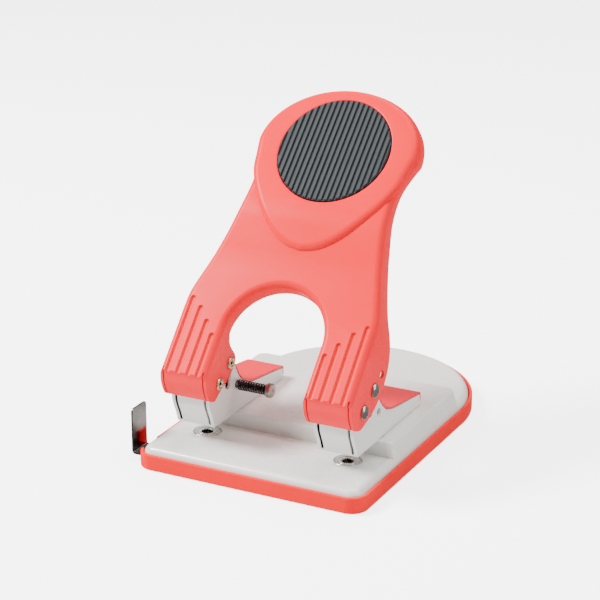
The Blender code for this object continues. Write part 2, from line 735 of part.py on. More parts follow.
def flange_line():
    """The outer flange's rear edge from the leg's lower corner to the head's top."""
    return smooth([(-7.3, -15.6), (-4.6, -20.2), (2.4, -24.5), (9.0, -27.7), (17.0, -29.6),
                   (25.5, -29.7), (33.0, -27.6), (39.5, -24.0), (46.5, -18.8), (55.0, -15.0),
                   (66.0, -13.2), (90.0, -11.1), (106.0, -8.5), (122.0, -7.2)], 2) + [(180.0, -7.2)]


def inner_flange_line():
    """The inner flange's rear edge: shallow round the arch, deep over the pins."""
    depth = ARCH_SIDE_DEPTH
    return smooth([(-12.0, -17.0), (-4.0, -19.2), (2.5, -21.2), (8.5, -23.9), (13.0, -25.0),
                   (18.5, -25.4), (21.6, -22.8), (22.6, -18.5), (23.6, -14.0), (26.5, -10.6),
                   (32.0, -depth), (62.0, -depth)], 2)


def tongue_outline(inset):
    """The raised panel: a rounded point below the pad that widens into the head."""
    low = TONGUE_FOOT + inset
    half = HEAD_HALF - TONGUE_MARGIN - inset
    side = [(6.5 * sqrt(rise) - inset * 0.5, low + rise) for rise in (1.5, 5, 10, 16, 23, 31)]
    side += [(half - 3.4, 115.0), (half - 1.6, 124.0)]
    side = smooth([(0.0, low)] + side + [(half, HEAD_CENTRE)], 1)
    head = arc((0, HEAD_CENTRE), half, 0, 90, 9, LEVER_TOP - TONGUE_MARGIN - inset - HEAD_CENTRE)
    right = side[:-1] + head
    return right + [(-x, y) for x, y in reversed(right[1:-1])]


def build_lever(parent):
    """Sheet-metal lever: a flanged shell with two fluted legs and a raised head."""
    lever = edge_block("lever", 0, -30.0, 0.0, 45.0, EDGE_ROUND, 3)
    side = lever_foot_line(0) + flange_line() + [(180.0, 12.0), on_lever(LEVER_FOOT_Y + 5, 70.0)]
    combine(lever, prism("side", side, "X", -70, 70), "INTERSECT")
    tongue = loft("tongue", [[(x, y, -SHEET / 2) for x, y in tongue_outline(0)],
                             [(x, y, 0.0) for x, y in tongue_outline(0)],
                             [(x, y, TONGUE_RISE) for x, y in tongue_outline(TONGUE_RAMP)]])
    add(lever, tongue)
    for sign in (-1, 1):
        for across, top in FLUTE_TOPS.items():
            x = sign * (HEAD_X + across)
            half = FLUTE_WIDTH / 2
            low = [(x - half, -20.0), (x + half, -20.0)]
            high = arc((x, top - half), half, 0, 180, 4)
            flute = loft("flute", [[(x + (px - x) * 0.5, py, -FLUTE_DEPTH) for px, py in low + high],
                                   [(x + (px - x) * 1.4, py, 1.0) for px, py in low + high]])
            cut(lever, flute)
    hollow = edge_block("hollow", SHEET, -60.0, -SHEET, 80.0, EDGE_ROUND - SHEET, 1)
    inside = lever_foot_line(SHEET) + [(-80, -80), (200, -80), (200, 12)]
    combine(hollow, prism("inside", inside, "X", -70, 70), "INTERSECT")
    cut(lever, hollow)
    behind = inner_flange_line() + [(62.0, -90.0), (-60.0, -90.0), (-60.0, -17.0)]
    cut(lever, prism("behind", behind, "X", -HEAD_X, HEAD_X))
    slit_top = LEVER_FOOT_Z + 1.2
    for sign in (-1, 1):
        for across in (-1, 1):
            far = sign * HEAD_X + across * (LEG_HALF - SHEET + 0.1)
            near = far - across * SLIT
            slit = box("slit", (min(near, far), max(near, far)),
                       (LEVER_FOOT_Y - 5, LEVER_FOOT_Y + LEG_SLIT_DEPTH), (slit_top - 25, slit_top))
            slit.data.transform(lever_frame().inverted())
            cut(lever, slit)
    pocket = rod("pocket", PAD_R + GAP, (0, PAD_CENTRE, 0), "Z", 0, 10, 48)
    cut(lever, pocket)
    bend_face(lever)
    lever.data.transform(lever_frame())
    for y, z in ((PIVOT_Y, PIVOT_Z), (DRIVE_Y, DRIVE_Z)):
        cut(lever, rod("pin_hole", PIN_R + RUN, (0, y, z), "X", -70, 70, 16))
    angle = radians(LOCK_ANGLE + STROKE)
    lock_y = PIVOT_Y + LOCK_ARM * cos(angle)
    lock_z = PIVOT_Z + LOCK_ARM * sin(angle)
    for low, high in ((-70, -45), (45, 70)):
        cut(lever, rod("lock_hole", LOCK_HOLE_R, (0, lock_y, lock_z), "X", low, high, 16))
    finish(lever, red_paint(), (0, PIVOT_Y, PIVOT_Z), parent=parent)


def build_grip_pad(parent):
    """Ribbed rubber disc let into the lever's head."""
    base = GAP
    top = base + PAD_T
    groove = top - PAD_GROOVE_DEPTH
    count = int(2 * (PAD_R + 2) / PAD_RIB_PITCH)
    line = []
    for i in range(count):
        left = -(PAD_R + 2) + i * PAD_RIB_PITCH
        right = left + PAD_RIB_PITCH
        line += [(left, groove), (left + PAD_GROOVE, groove), (left + PAD_GROOVE + 0.2, top),
                 (right - 0.2, top)]
    line += [(right, groove), (right, base), (-(PAD_R + 2), base)]
    pad = prism("grip_pad", line, "Y", PAD_CENTRE - PAD_R - 2, PAD_CENTRE + PAD_R + 2)
    disc = rod("disc", PAD_R, (0, PAD_CENTRE, 0), "Z", -10, 10, 48)
    combine(pad, disc, "INTERSECT")
    bend_face(pad)
    pad.data.transform(lever_frame())
    finish(pad, rubber(), (0, PIVOT_Y, PIVOT_Z), parent=parent)


# ---------------------------------------------------------------- paper guide

def build_paper_guide():
    """Chromed strip that slides out to the left, with an upright stop."""
    low = GUIDE_Z
    high = GUIDE_Z + GUIDE_T
    inner = GUIDE_TAB_X + GUIDE_T
    outline = [(GUIDE_TAB_X, low + 0.6), (GUIDE_TAB_X + 0.6, low), (GUIDE_TAIL_X, low),
               (GUIDE_TAIL_X, high), (inner, high), (inner, GUIDE_TAB_TOP),
               (GUIDE_TAB_X, GUIDE_TAB_TOP)]
    rear = GUIDE_FRONT + GUIDE_WIDTH
    guide = prism("paper_guide", outline, "Y", GUIDE_FRONT, rear)
    for corner, across in ((GUIDE_FRONT, 1), (rear, -1)):
        wedge = [(corner - across, GUIDE_TAB_TOP - 3), (corner - across, GUIDE_TAB_TOP + 1),
                 (corner + GUIDE_CORNER * across, GUIDE_TAB_TOP + 1),
                 (corner, GUIDE_TAB_TOP - GUIDE_CORNER)]
        cut(guide, prism("wedge", wedge, "X", GUIDE_TAB_X - 1, inner + 1))
    finish(guide, chrome(), (GUIDE_TAB_X, GUIDE_FRONT, GUIDE_Z))


def build_guide_channel():
    """Sleeve under the plate that carries the guide, and the leaf that drags on it."""
    front = GUIDE_FRONT - 2 * GAP - CHANNEL_T
    rear = GUIDE_FRONT + GUIDE_WIDTH + 2 * GAP + CHANNEL_T
    top = DECK_Z - PLATE_T - GAP
    bottom = GUIDE_Z - GAP
    span = (CHANNEL_LEFT, CHANNEL_RIGHT)
    channel = box("guide_channel", span, (front, rear), (bottom - CHANNEL_BOTTOM_T, top))
    inside = box("inside", (CHANNEL_LEFT - 1, CHANNEL_RIGHT + 1),
                 (front + CHANNEL_T, rear - CHANNEL_T), (bottom, top - CHANNEL_T))
    cut(channel, inside)
    finish(channel, steel(), (CHANNEL_LEFT, front, bottom))
    strip_top = GUIDE_Z + GUIDE_T
    high = top - CHANNEL_T - GAP
    middle = (CHANNEL_LEFT + CHANNEL_RIGHT) / 2
    half = (CHANNEL_RIGHT - CHANNEL_LEFT) / 2 - 3
    bow = [(middle + half * t, strip_top + GAP + (high - strip_top - GAP - LEAF_T) * t * t)
           for t in (-1, -0.75, -0.5, -0.25, 0, 0.25, 0.5, 0.75, 1)]
    outline = bow + [(x, z + LEAF_T) for x, z in reversed(bow)]
    leaf = prism("guide_leaf_spring", outline, "Y", GUIDE_FRONT + LEAF_INSET,
                 GUIDE_FRONT + GUIDE_WIDTH - LEAF_INSET)
    finish(leaf, dark_steel(), (middle, GUIDE_FRONT, strip_top))


# ---------------------------------------------------------------- whole punch

def build():
    for obj in list(bpy.data.objects):
        bpy.data.objects.remove(obj)
    build_chip_tray()
    build_base_plate()
    build_guide_channel()
    build_paper_guide()
    pivot = empty("lever_pivot", (0, PIVOT_Y, PIVOT_Z))
    build_lever(pivot)
    build_grip_pad(pivot)
    for name, side in (("left", -1), ("right", 1)):
        x = side * HEAD_X
        build_die("die_" + name, x)
        build_bracket("bracket_" + name, x)
        build_cover("bracket_cover_" + name, x)
        build_punch_guide("punch_guide_" + name, x)
        build_punch("punch_" + name, x)
        build_punch_spring("punch_spring_" + name, x)
        build_cross_pin("pivot_pin_" + name, side, PIVOT_Y, PIVOT_Z, pivot)
        build_cross_pin("drive_pin_" + name, side, DRIVE_Y, DRIVE_Z, pivot)
        for place, y in zip(("front", "rear"), RIVET_Y):
            build_rivet("bracket_rivet_" + name + "_" + place, x, y)
    build_lock()


build()
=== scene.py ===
"""Finished look of a two-hole desk punch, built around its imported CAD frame."""

import logging
from contextlib import contextmanager
from dataclasses import dataclass, field
from enum import Enum
from math import cos, hypot, pi, radians, sin, sqrt
from typing import Iterator, Sequence

import bmesh
import bpy
from mathutils import Matrix, Vector

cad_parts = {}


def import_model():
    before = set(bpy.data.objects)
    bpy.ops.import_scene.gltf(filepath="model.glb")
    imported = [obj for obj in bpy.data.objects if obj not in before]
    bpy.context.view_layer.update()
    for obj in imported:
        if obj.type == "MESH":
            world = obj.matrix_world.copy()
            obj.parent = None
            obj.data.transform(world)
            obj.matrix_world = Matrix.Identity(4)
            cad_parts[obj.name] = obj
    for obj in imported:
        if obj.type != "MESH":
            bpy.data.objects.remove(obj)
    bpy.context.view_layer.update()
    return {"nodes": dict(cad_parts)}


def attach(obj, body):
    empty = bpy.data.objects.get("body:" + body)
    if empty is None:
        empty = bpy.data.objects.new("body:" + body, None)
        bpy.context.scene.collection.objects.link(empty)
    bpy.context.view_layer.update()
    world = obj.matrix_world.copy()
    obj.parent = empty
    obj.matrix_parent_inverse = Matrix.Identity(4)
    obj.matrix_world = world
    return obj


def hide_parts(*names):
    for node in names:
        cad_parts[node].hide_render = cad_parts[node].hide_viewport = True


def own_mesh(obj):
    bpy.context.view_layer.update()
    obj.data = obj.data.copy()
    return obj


LOG = logging.getLogger("hole_punch")
MM = 0.001
MERGE = 0.0005  # points closer than this, in millimetres, become one
Point = tuple[float, float]
Place = tuple[float, float, float]
Colour = tuple[float, float, float]
Solid = bpy.types.Object
Socket = bpy.types.NodeSocket


class Side(Enum):
    """The two punching units, by the sign of their X."""

    LEFT = -1
    RIGHT = 1

    @property
    def label(self) -> str:
        """The word used in the names of this side's pieces."""
        return self.name.lower()


class Operation(Enum):
    """Ways to combine two solids."""

    JOIN = "UNION"
    CUT = "DIFFERENCE"
    KEEP_COMMON = "INTERSECT"


# ---- shared sizes


@dataclass(frozen=True)
class Sizes:
    """The punch's own dimensions in millimetres and degrees, as the frame has them."""

    gap: float = 0.3
    head_x: float = 40.0
    deck_z: float = 11.5
    plateau_z: float = 19.5
    bracket_z: float = 19.8
    bracket_half: float = 10.75
    sheet: float = 1.5
    pivot: Point = (-10.0, 43.4)
    drive_arm: float = 13.9
    drive_angle: float = 31.2
    stroke: float = 52.0
    pin_r: float = 2.4
    lock_arm: float = 24.2
    lock_angle: float = -21.0
    lock_hole_r: float = 2.2
    foot_y: float = -24.4
    foot_z: float = 52.5
    tilt: float = 47.2
    leg_half: float = 13.0
    bore: float = 2.95
    rivet_r: float = 2.0
    rivet_y: Point = (34.0, 54.0)
    guide_y: Point = (-26.0, -12.5)
    guide_z: Point = (3.0, 4.0)

    @property
    def drive(self) -> Point:
        """Centre of the drive pin, as (y, z)."""
        return self.about_pivot(self.drive_arm, self.drive_angle)

    @property
    def lock(self) -> Point:
        """Centre of the lock pin, as (y, z)."""
        return self.about_pivot(self.lock_arm, self.lock_angle)

    def about_pivot(self, arm: float, angle: float) -> Point:
        """A point (y, z) at an arm's length and an angle about the lever's pivot."""
        turn = radians(angle)
        return self.pivot[0] + arm * cos(turn), self.pivot[1] + arm * sin(turn)


SIZES = Sizes()


# ---- curves


def smooth(points: Sequence[Point], steps: int = 6) -> list[Point]:
    """Points on a smooth curve through the given ones, ends included.

    Args:
        points: the points to pass through.
        steps: how many pieces each span is cut into.

    Returns:
        The curve's points.
    """
    curve: list[Point] = []
    last = len(points) - 1
    for i in range(last):
        p0, p1 = points[max(i - 1, 0)], points[i]
        p2, p3 = points[i + 1], points[min(i + 2, last)]
        for step in range(steps):
            t = step / steps
            curve.append(tuple(
                0.5 * (2 * b + (c - a) * t + (2 * a - 5 * b + 4 * c - d) * t * t
                       + (3 * b - a - 3 * c + d) * t ** 3)
                for a, b, c, d in zip(p0, p1, p2, p3)))
    curve.append(points[-1])
    return curve


def arc(centre: Point, radius: float, start: float, end: float, steps: int,
        radius_y: float | None = None) -> list[Point]:
    """Points on an arc or an ellipse's arc.

    Args:
        centre: the arc's centre.
        radius: its radius, or the ellipse's first half axis.
        start: first angle in degrees.
        end: last angle in degrees.
        steps: number of segments.
        radius_y: the ellipse's second half axis, if it has one.

    Returns:
        The arc's points, both ends included.
    """
    second = radius if radius_y is None else radius_y
    turns = [radians(start + (end - start) * i / steps) for i in range(steps + 1)]
    return [(centre[0] + radius * cos(t), centre[1] + second * sin(t)) for t in turns]


def offset(points: Sequence[Point], distance: float) -> list[Point]:
    """An open line moved sideways, to its left for a positive distance."""
    moved = []
    for i, point in enumerate(points):
        before, after = points[max(i - 1, 0)], points[min(i + 1, len(points) - 1)]
        along = (after[0] - before[0], after[1] - before[1])
        length = hypot(*along)
        moved.append((point[0] - along[1] / length * distance,
                      point[1] + along[0] / length * distance))
    return moved


def fillet(points: Sequence[Point], radius: float, steps: int = 5) -> list[Point]:
    """A closed outline with its corners rounded.

    Args:
        points: the outline's corners.
        radius: rounding radius, made smaller where an edge is short.
        steps: segments per corner.

    Returns:
        The rounded outline.
    """
    share = 0.45  # a corner takes at most this much of an edge
    rounded: list[Point] = []
    for i, corner in enumerate(points):
        here = Vector(corner)
        back = Vector(points[i - 1]) - here
        ahead = Vector(points[(i + 1) % len(points)]) - here
        reach = min(radius, back.length * share, ahead.length * share)
        first, last = here + back.normalized() * reach, here + ahead.normalized() * reach
        for step in range(steps + 1):
            t = step / steps
            point = first * (1 - t) ** 2 + here * (2 * t * (1 - t)) + last * t * t
            rounded.append((point.x, point.y))
    return rounded


def quarter(steps: int) -> list[Point]:
    """A quarter turn in steps, as (1 - cosine, 1 - sine), to round an edge ring by ring."""
    turns = [pi / 2 * i / steps for i in range(steps + 1)]
    return [(1 - cos(turn), 1 - sin(turn)) for turn in turns]


# ---- solids


def to_object(name: str, bm: bmesh.types.BMesh) -> Solid:
    """Turn a bmesh into an object, still in millimetres, with faces pointing out."""
    bmesh.ops.remove_doubles(bm, verts=bm.verts, dist=MERGE)
    bmesh.ops.recalc_face_normals(bm, faces=bm.faces)
    mesh = bpy.data.meshes.new(name)
    bm.to_mesh(mesh)
    bm.free()
    obj = bpy.data.objects.new(name, mesh)
    bpy.context.collection.objects.link(obj)
    return obj


def loft(name: str, rings: Sequence[Sequence[Sequence[float]]]) -> Solid:
    """A solid bridged through rings of points, each with the same number of points."""
    bm = bmesh.new()
    loops = []
    for ring in rings:
        verts = [bm.verts.new(point) for point in ring]
        loops.append([bm.edges.new(pair) for pair in zip(verts, verts[1:] + verts[:1])])
    for lower, upper in zip(loops, loops[1:]):
        bmesh.ops.bridge_loops(bm, edges=lower + upper)
    for loop in (loops[0], loops[-1]):
        bmesh.ops.contextual_create(bm, geom=loop)
    return to_object(name, bm)


def prism(name: str, outline: Sequence[Point], axis: str, low: float, high: float) -> Solid:
    """An outline pushed along an axis.

    Args:
        name: the object's name.
        outline: points in the other two axes' order.
        axis: "X", "Y" or "Z".
        low: where the push starts.
        high: where it ends.

    Returns:
        The solid.
    """
    index = "XYZ".index(axis)
    push = [0.0, 0.0, 0.0]
    push[index] = high - low
    bm = bmesh.new()
    face = bm.faces.new([bm.verts.new((*point[:index], low, *point[index:]))
                         for point in outline])
    pushed = bmesh.ops.extrude_face_region(bm, geom=[face])
    verts = [item for item in pushed["geom"] if isinstance(item, bmesh.types.BMVert)]
    bmesh.ops.translate(bm, verts=verts, vec=push)
    return to_object(name, bm)


def block(name: str, x: Point, y: Point, z: Point) -> Solid:
    """A block between two limits on each axis. Those on x come in any order."""
    left, right = sorted(x)
    corners = [(left, y[0]), (right, y[0]), (right, y[1]), (left, y[1])]
    return prism(name, corners, "Z", *z)


def turned(name: str, profile: Sequence[Point], segments: int,
           centre: Sequence[float], axis: str = "Z") -> Solid:
    """A turned solid.

    Args:
        name: the object's name.
        profile: (radius, height) points from bottom to top.
        segments: facets round the axis.
        centre: where the profile's zero height lies.
        axis: "X" or "Z".

    Returns:
        The solid.
    """
    bm = bmesh.new()
    verts = [bm.verts.new((radius, 0, height)) for radius, height in profile]
    edges = [bm.edges.new(pair) for pair in zip(verts, verts[1:] + verts[:1])]
    bmesh.ops.spin(bm, geom=verts + edges, cent=(0, 0, 0), axis=(0, 0, 1),
                   angle=2 * pi, steps=segments, use_merge=True)
    bmesh.ops.remove_doubles(bm, verts=bm.verts, dist=MERGE)
    bmesh.ops.dissolve_degenerate(bm, dist=MERGE, edges=bm.edges)
    axle = [edge for edge in bm.edges if not edge.link_faces]
    bmesh.ops.delete(bm, geom=axle, context="EDGES")
    turn = Matrix.Rotation(pi / 2, 4, "Y") if axis == "X" else Matrix.Identity(4)
    bm.transform(Matrix.Translation(centre) @ turn)
    return to_object(name, bm)


def rod(name: str, radius: float, centre: Sequence[float], axis: str, low: float,
        high: float, segments: int = 40) -> Solid:
    """A plain round bar, used to drill a hole."""
    return turned(name, [(0, low), (radius, low), (radius, high), (0, high)], segments,
                  centre, axis)


def bake(obj: Solid) -> None:
    """Make an object's modifiers part of its mesh."""
    graph = bpy.context.evaluated_depsgraph_get()
    result = bpy.data.meshes.new_from_object(obj.evaluated_get(graph))
    obj.modifiers.clear()
    obj.data = result


def combine(target: Solid, tool: Solid, operation: Operation = Operation.CUT) -> None:
    """Combine two solids. The tool is used up."""
    modifier = target.modifiers.new("combine", "BOOLEAN")
    modifier.operation = operation.value
    modifier.solver = "EXACT"
    modifier.object = tool
    bake(target)
    bpy.data.objects.remove(tool)


def coil(name: str, radius: float, wire: float, turns: float, length: float,
         steps: int = 32, sides: int = 12) -> Solid:
    """A coil spring along +Z from the origin, made by spinning the wire's section."""
    count = int(steps * turns)
    bm = bmesh.new()
    section = bmesh.ops.create_circle(bm, cap_ends=True, segments=sides, radius=wire / 2)
    upright = Matrix.Translation((radius, 0, wire / 2)) @ Matrix.Rotation(pi / 2, 4, "X")
    bmesh.ops.transform(bm, matrix=upright, verts=section["verts"])
    bmesh.ops.spin(bm, geom=list(bm.faces), cent=(0, 0, 0), axis=(0, 0, 1),
                   angle=2 * pi * turns, steps=count, dvec=(0, 0, (length - wire) / count))
    return to_object(name, bm)


@contextmanager
def editing(obj: Solid) -> Iterator[bmesh.types.BMesh]:
    """Open an object's mesh as a bmesh, and write it back at the end."""
    bm = bmesh.new()
    bm.from_mesh(obj.data)
    yield bm
    bm.to_mesh(obj.data)
    bm.free()


def soften(obj: Solid, width: float, segments: int = 2, angle: float = 38.0) -> None:
    """Round the sharp edges of a solid that is still in millimetres."""
    modifier = obj.modifiers.new("soften", "BEVEL")
    modifier.width = width
    modifier.segments = segments
    modifier.limit_method = "ANGLE"
    modifier.angle_limit = radians(angle)
    modifier.miter_outer = "MITER_ARC"
    bake(obj)


def complete(obj: Solid, finish: bpy.types.Material, body: str,
             node: str = "", sharp: float = 40.0) -> None:
    """Scale a solid to metres, dress it, and let it ride on its body.

    Args:
        obj: the solid in millimetres.
        finish: its material.
        body: the body it moves with.
        node: the CAD node it stands for, if there is one.
        sharp: edges steeper than this many degrees stay crisp.
    """
    with editing(obj) as bm:
        bmesh.ops.remove_doubles(bm, verts=bm.verts, dist=2 * MERGE)
        bmesh.ops.dissolve_degenerate(bm, dist=2 * MERGE, edges=bm.edges)
        bmesh.ops.connect_verts_concave(bm, faces=bm.faces)
        bmesh.ops.scale(bm, vec=(MM, MM, MM), verts=bm.verts)
    obj.data.materials.clear()
    obj.data.materials.append(finish)
    obj.data.shade_smooth()
    obj.data.set_sharp_from_angle(angle=radians(sharp))
    weighted = obj.modifiers.new("even_shading", "WEIGHTED_NORMAL")
    weighted.keep_sharp = True
    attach(obj, body)
    if node:
        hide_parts(node)
    LOG.info("%s rides on %s: %d faces", obj.name, body, len(obj.data.polygons))


# ---- finishes


class NodeSheet:
    """A material's node tree, with short ways to add and join nodes."""

    def __init__(self, name: str) -> None:
        """Start a material that holds only its shader and its output."""
        self.material = bpy.data.materials.new(name)
        self.material.use_nodes = True
        self.tree = self.material.node_tree
        self.shader = self.tree.nodes["Principled BSDF"]

    def set(self, node: bpy.types.Node, **inputs: object) -> None:
        """Set a node's inputs, named with underscores for spaces."""
        for key, value in inputs.items():
            node.inputs[key.replace("_", " ")].default_value = value

    def add(self, kind: str, **inputs: object) -> bpy.types.Node:
        """Add a node and set its inputs."""
        node = self.tree.nodes.new(kind)
        self.set(node, **inputs)
        return node

    def join(self, source: Socket, target: Socket) -> None:
        """Join two sockets."""
        self.tree.links.new(source, target)

    def feed(self, source: Socket, name: str) -> None:
        """Join a socket to one of the shader's inputs."""
        self.join(source, self.shader.inputs[name])

    def noise(self, scale: float, detail: float, roughness: float = 0.5,
              stretch: Place = (1.0, 1.0, 1.0)) -> Socket:
        """Noise on Object coordinates, with a scale per millimetre and a stretch."""
        where = self.add("ShaderNodeTexCoord")
        mapping = self.add("ShaderNodeMapping", Scale=[scale * part / MM for part in stretch])
        self.join(where.outputs["Object"], mapping.inputs["Vector"])
        node = self.add("ShaderNodeTexNoise", Scale=1.0, Detail=detail, Roughness=roughness)
        self.join(mapping.outputs["Vector"], node.inputs["Vector"])
        return node.outputs["Fac"]

    def tint(self, source: Socket, dark: Colour, light: Colour,
             low: float = 0.3, high: float = 0.7) -> Socket:
        """Turn a factor into colours that run from dark to light."""
        node = self.add("ShaderNodeValToRGB")
        stops = ((low, dark), (high, light))
        for element, (position, colour) in zip(node.color_ramp.elements, stops):
            element.position = position
            element.color = (*colour, 1.0)
        self.join(source, node.inputs["Fac"])
        return node.outputs["Color"]

    def range(self, source: Socket, low: float, high: float,
              start: float = 0.0, end: float = 1.0) -> Socket:
        """Stretch a factor to run from low to high."""
        node = self.add("ShaderNodeMapRange", From_Min=start, From_Max=end, To_Min=low,
                        To_Max=high)
        self.join(source, node.inputs["Value"])
        return node.outputs["Result"]

    def bump(self, source: Socket, strength: float, distance: float,
             below: Socket | None = None) -> Socket:
        """Bump from a height, on top of another bump if one is given."""
        node = self.add("ShaderNodeBump", Strength=strength, Distance=distance * MM)
        self.join(source, node.inputs["Height"])
        if below is not None:
            self.join(below, node.inputs["Normal"])
        return node.outputs["Normal"]

    def edges(self, radius: float) -> Socket:
        """How far a point is worn: 0 on flats and 1 on a convex edge."""
        geometry = self.add("ShaderNodeNewGeometry")
        return self.range(geometry.outputs["Pointiness"], 0.0, 1.0, 0.5, 0.5 + radius)


@dataclass(frozen=True)
class Enamel:
    """Sprayed or powder-coated enamel: a faint orange peel and a little colour drift."""

    name: str
    colour: Colour
    deep: Colour
    worn: Colour
    roughness: float
    peel: float = 0.08
    coat: float = 0.0
    gloss: float = 0.5
    ior: float = 1.5
    edge: float = 0.09
    wear: float = 0.35

    def build(self) -> bpy.types.Material:
        """Make the material."""
        sheet = NodeSheet(self.name)
        mix = sheet.add("ShaderNodeMix")
        mix.data_type = "RGBA"
        sheet.join(sheet.range(sheet.edges(self.edge), 0.0, self.wear), mix.inputs["Factor"])
        sheet.join(sheet.tint(sheet.noise(0.018, 2.0), self.deep, self.colour),
                   mix.inputs["A"])
        mix.inputs["B"].default_value = (*self.worn, 1.0)
        sheet.feed(mix.outputs["Result"], "Base Color")
        smudge = sheet.noise(0.05, 4.0, 0.6)
        rough = sheet.range(smudge, self.roughness - 0.04, self.roughness + 0.05, 0.3, 0.7)
        sheet.feed(rough, "Roughness")
        peel = sheet.bump(sheet.noise(0.9, 2.0), self.peel, 0.06)
        sheet.feed(sheet.bump(sheet.noise(3.5, 1.0), self.peel / 2, 0.02, peel), "Normal")
        sheet.set(sheet.shader, Coat_Weight=self.coat, Coat_Roughness=0.12,
                  Specular_IOR_Level=self.gloss, IOR=self.ior)
        return sheet.material


@dataclass(frozen=True)
class Metal:
    """Bare or plated metal with a fine grain along one axis."""

    name: str
    colour: Colour
    dark: Colour
    roughness: float
    grain: float = 1.0
    stretch: Place = (1.0, 1.0, 1.0)
    depth: float = 0.1

    def build(self) -> bpy.types.Material:
        """Make the material."""
        sheet = NodeSheet(self.name)
        cloud = sheet.noise(0.25, 3.0)
        sheet.feed(sheet.tint(cloud, self.dark, self.colour, 0.25), "Base Color")
        lines = sheet.noise(self.grain, 3.0, 0.6, self.stretch)
        rough = sheet.range(lines, self.roughness * 0.75, self.roughness * 1.3, 0.3, 0.7)
        sheet.feed(rough, "Roughness")
        sheet.feed(sheet.bump(lines, self.depth, 0.02), "Normal")
        sheet.set(sheet.shader, Metallic=1.0)
        return sheet.material


@dataclass(frozen=True)
class Rubber:
    """Matt moulded rubber with a fine grain and a dusting of pale wear."""

    name: str
    colour: Colour
    pale: Colour

    def build(self) -> bpy.types.Material:
        """Make the material."""
        sheet = NodeSheet(self.name)
        cloud = sheet.noise(0.12, 5.0, 0.65)
        sheet.feed(sheet.tint(cloud, self.colour, self.pale, high=0.75), "Base Color")
        sheet.feed(sheet.range(cloud, 0.5, 0.66, 0.3, 0.7), "Roughness")
        sheet.feed(sheet.bump(sheet.noise(5.0, 2.0), 0.35, 0.04), "Normal")
        sheet.set(sheet.shader, Specular_IOR_Level=0.2)
        return sheet.material


@dataclass(frozen=True)
class Backdrop:
    """The plain pale floor. Its glow only whitens the floor and lights nothing."""

    name: str
    colour: Colour
    glow: float = 3.2

    def build(self) -> bpy.types.Material:
        """Make the material."""
        sheet = NodeSheet(self.name)
        shade = tuple(value * 0.995 for value in self.colour)
        sheet.feed(sheet.tint(sheet.noise(0.01, 2.0), shade, self.colour), "Base Color")
        sheet.set(sheet.shader, Roughness=0.6, Emission_Color=(1, 1, 1, 1))
        path = sheet.add("ShaderNodeLightPath")
        sheet.feed(sheet.range(path.outputs["Is Camera Ray"], 0.0, self.glow),
                   "Emission Strength")
        return sheet.material


class Finishes:
    """Every finish on the punch, built once."""

    def __init__(self) -> None:
        """Build all materials."""
        self.red_enamel = Enamel("red_enamel", (0.81, 0.001, 0.011), (0.76, 0.001, 0.008),
                                 (0.95, 0.05, 0.07), 0.25, 0.05, gloss=0.11, ior=1.32).build()
        self.red_moulding = Enamel("red_moulding", (0.80, 0.001, 0.004),
                                   (0.76, 0.001, 0.003), (0.90, 0.03, 0.03), 0.34, 0.12,
                                   gloss=0.12, ior=1.32).build()
        self.red_cover = Enamel("red_cover", (0.80, 0.006, 0.026), (0.76, 0.004, 0.020),
                                (0.90, 0.05, 0.06), 0.30, gloss=0.45, ior=1.40).build()
        self.pale_enamel = Enamel("pale_enamel", (0.70, 0.69, 0.65), (0.67, 0.66, 0.62),
                                  (0.80, 0.79, 0.76), 0.26, coat=0.55).build()
        self.white_enamel = Enamel("white_enamel", (0.67, 0.69, 0.66), (0.64, 0.66, 0.63),
                                   (0.80, 0.81, 0.79), 0.32, coat=0.35).build()
        self.steel = Metal("bright_steel", (0.72, 0.71, 0.69), (0.60, 0.59, 0.57), 0.24,
                           0.6).build()
        self.zinc = Metal("zinc_rivet", (0.52, 0.49, 0.45), (0.36, 0.34, 0.31), 0.27, 1.2,
                          depth=0.12).build()
        self.brass = Metal("brass_bush", (0.76, 0.64, 0.42), (0.62, 0.50, 0.30), 0.28,
                           stretch=(0.3, 0.3, 2.0)).build()
        self.black_wire = Metal("blackened_wire", (0.035, 0.034, 0.034), (0.02, 0.02, 0.02),
                                0.30, 1.5).build()
        self.knurl = Metal("knurled_steel", (0.50, 0.47, 0.43), (0.30, 0.28, 0.26), 0.30,
                           1.5, depth=0.15).build()
        # Painted shade: a dark finish put on the bracket's inner faces to stand for their shadow,
        # not a real primer.
        self.primer = Metal("dark_primer", (0.10, 0.10, 0.10), (0.07, 0.07, 0.07), 0.60,
                            0.8).build()
        self.chrome = Metal("chromed_sheet", (0.17, 0.155, 0.155), (0.13, 0.12, 0.12), 0.16,
                            stretch=(0.05, 2.0, 0.05), depth=0.03).build()
        self.rubber = Rubber("ribbed_rubber", (0.018, 0.021, 0.024),
                             (0.026, 0.030, 0.034)).build()
        self.backdrop = Backdrop("pale_floor", (0.93, 0.93, 0.93)).build()


# ---- base


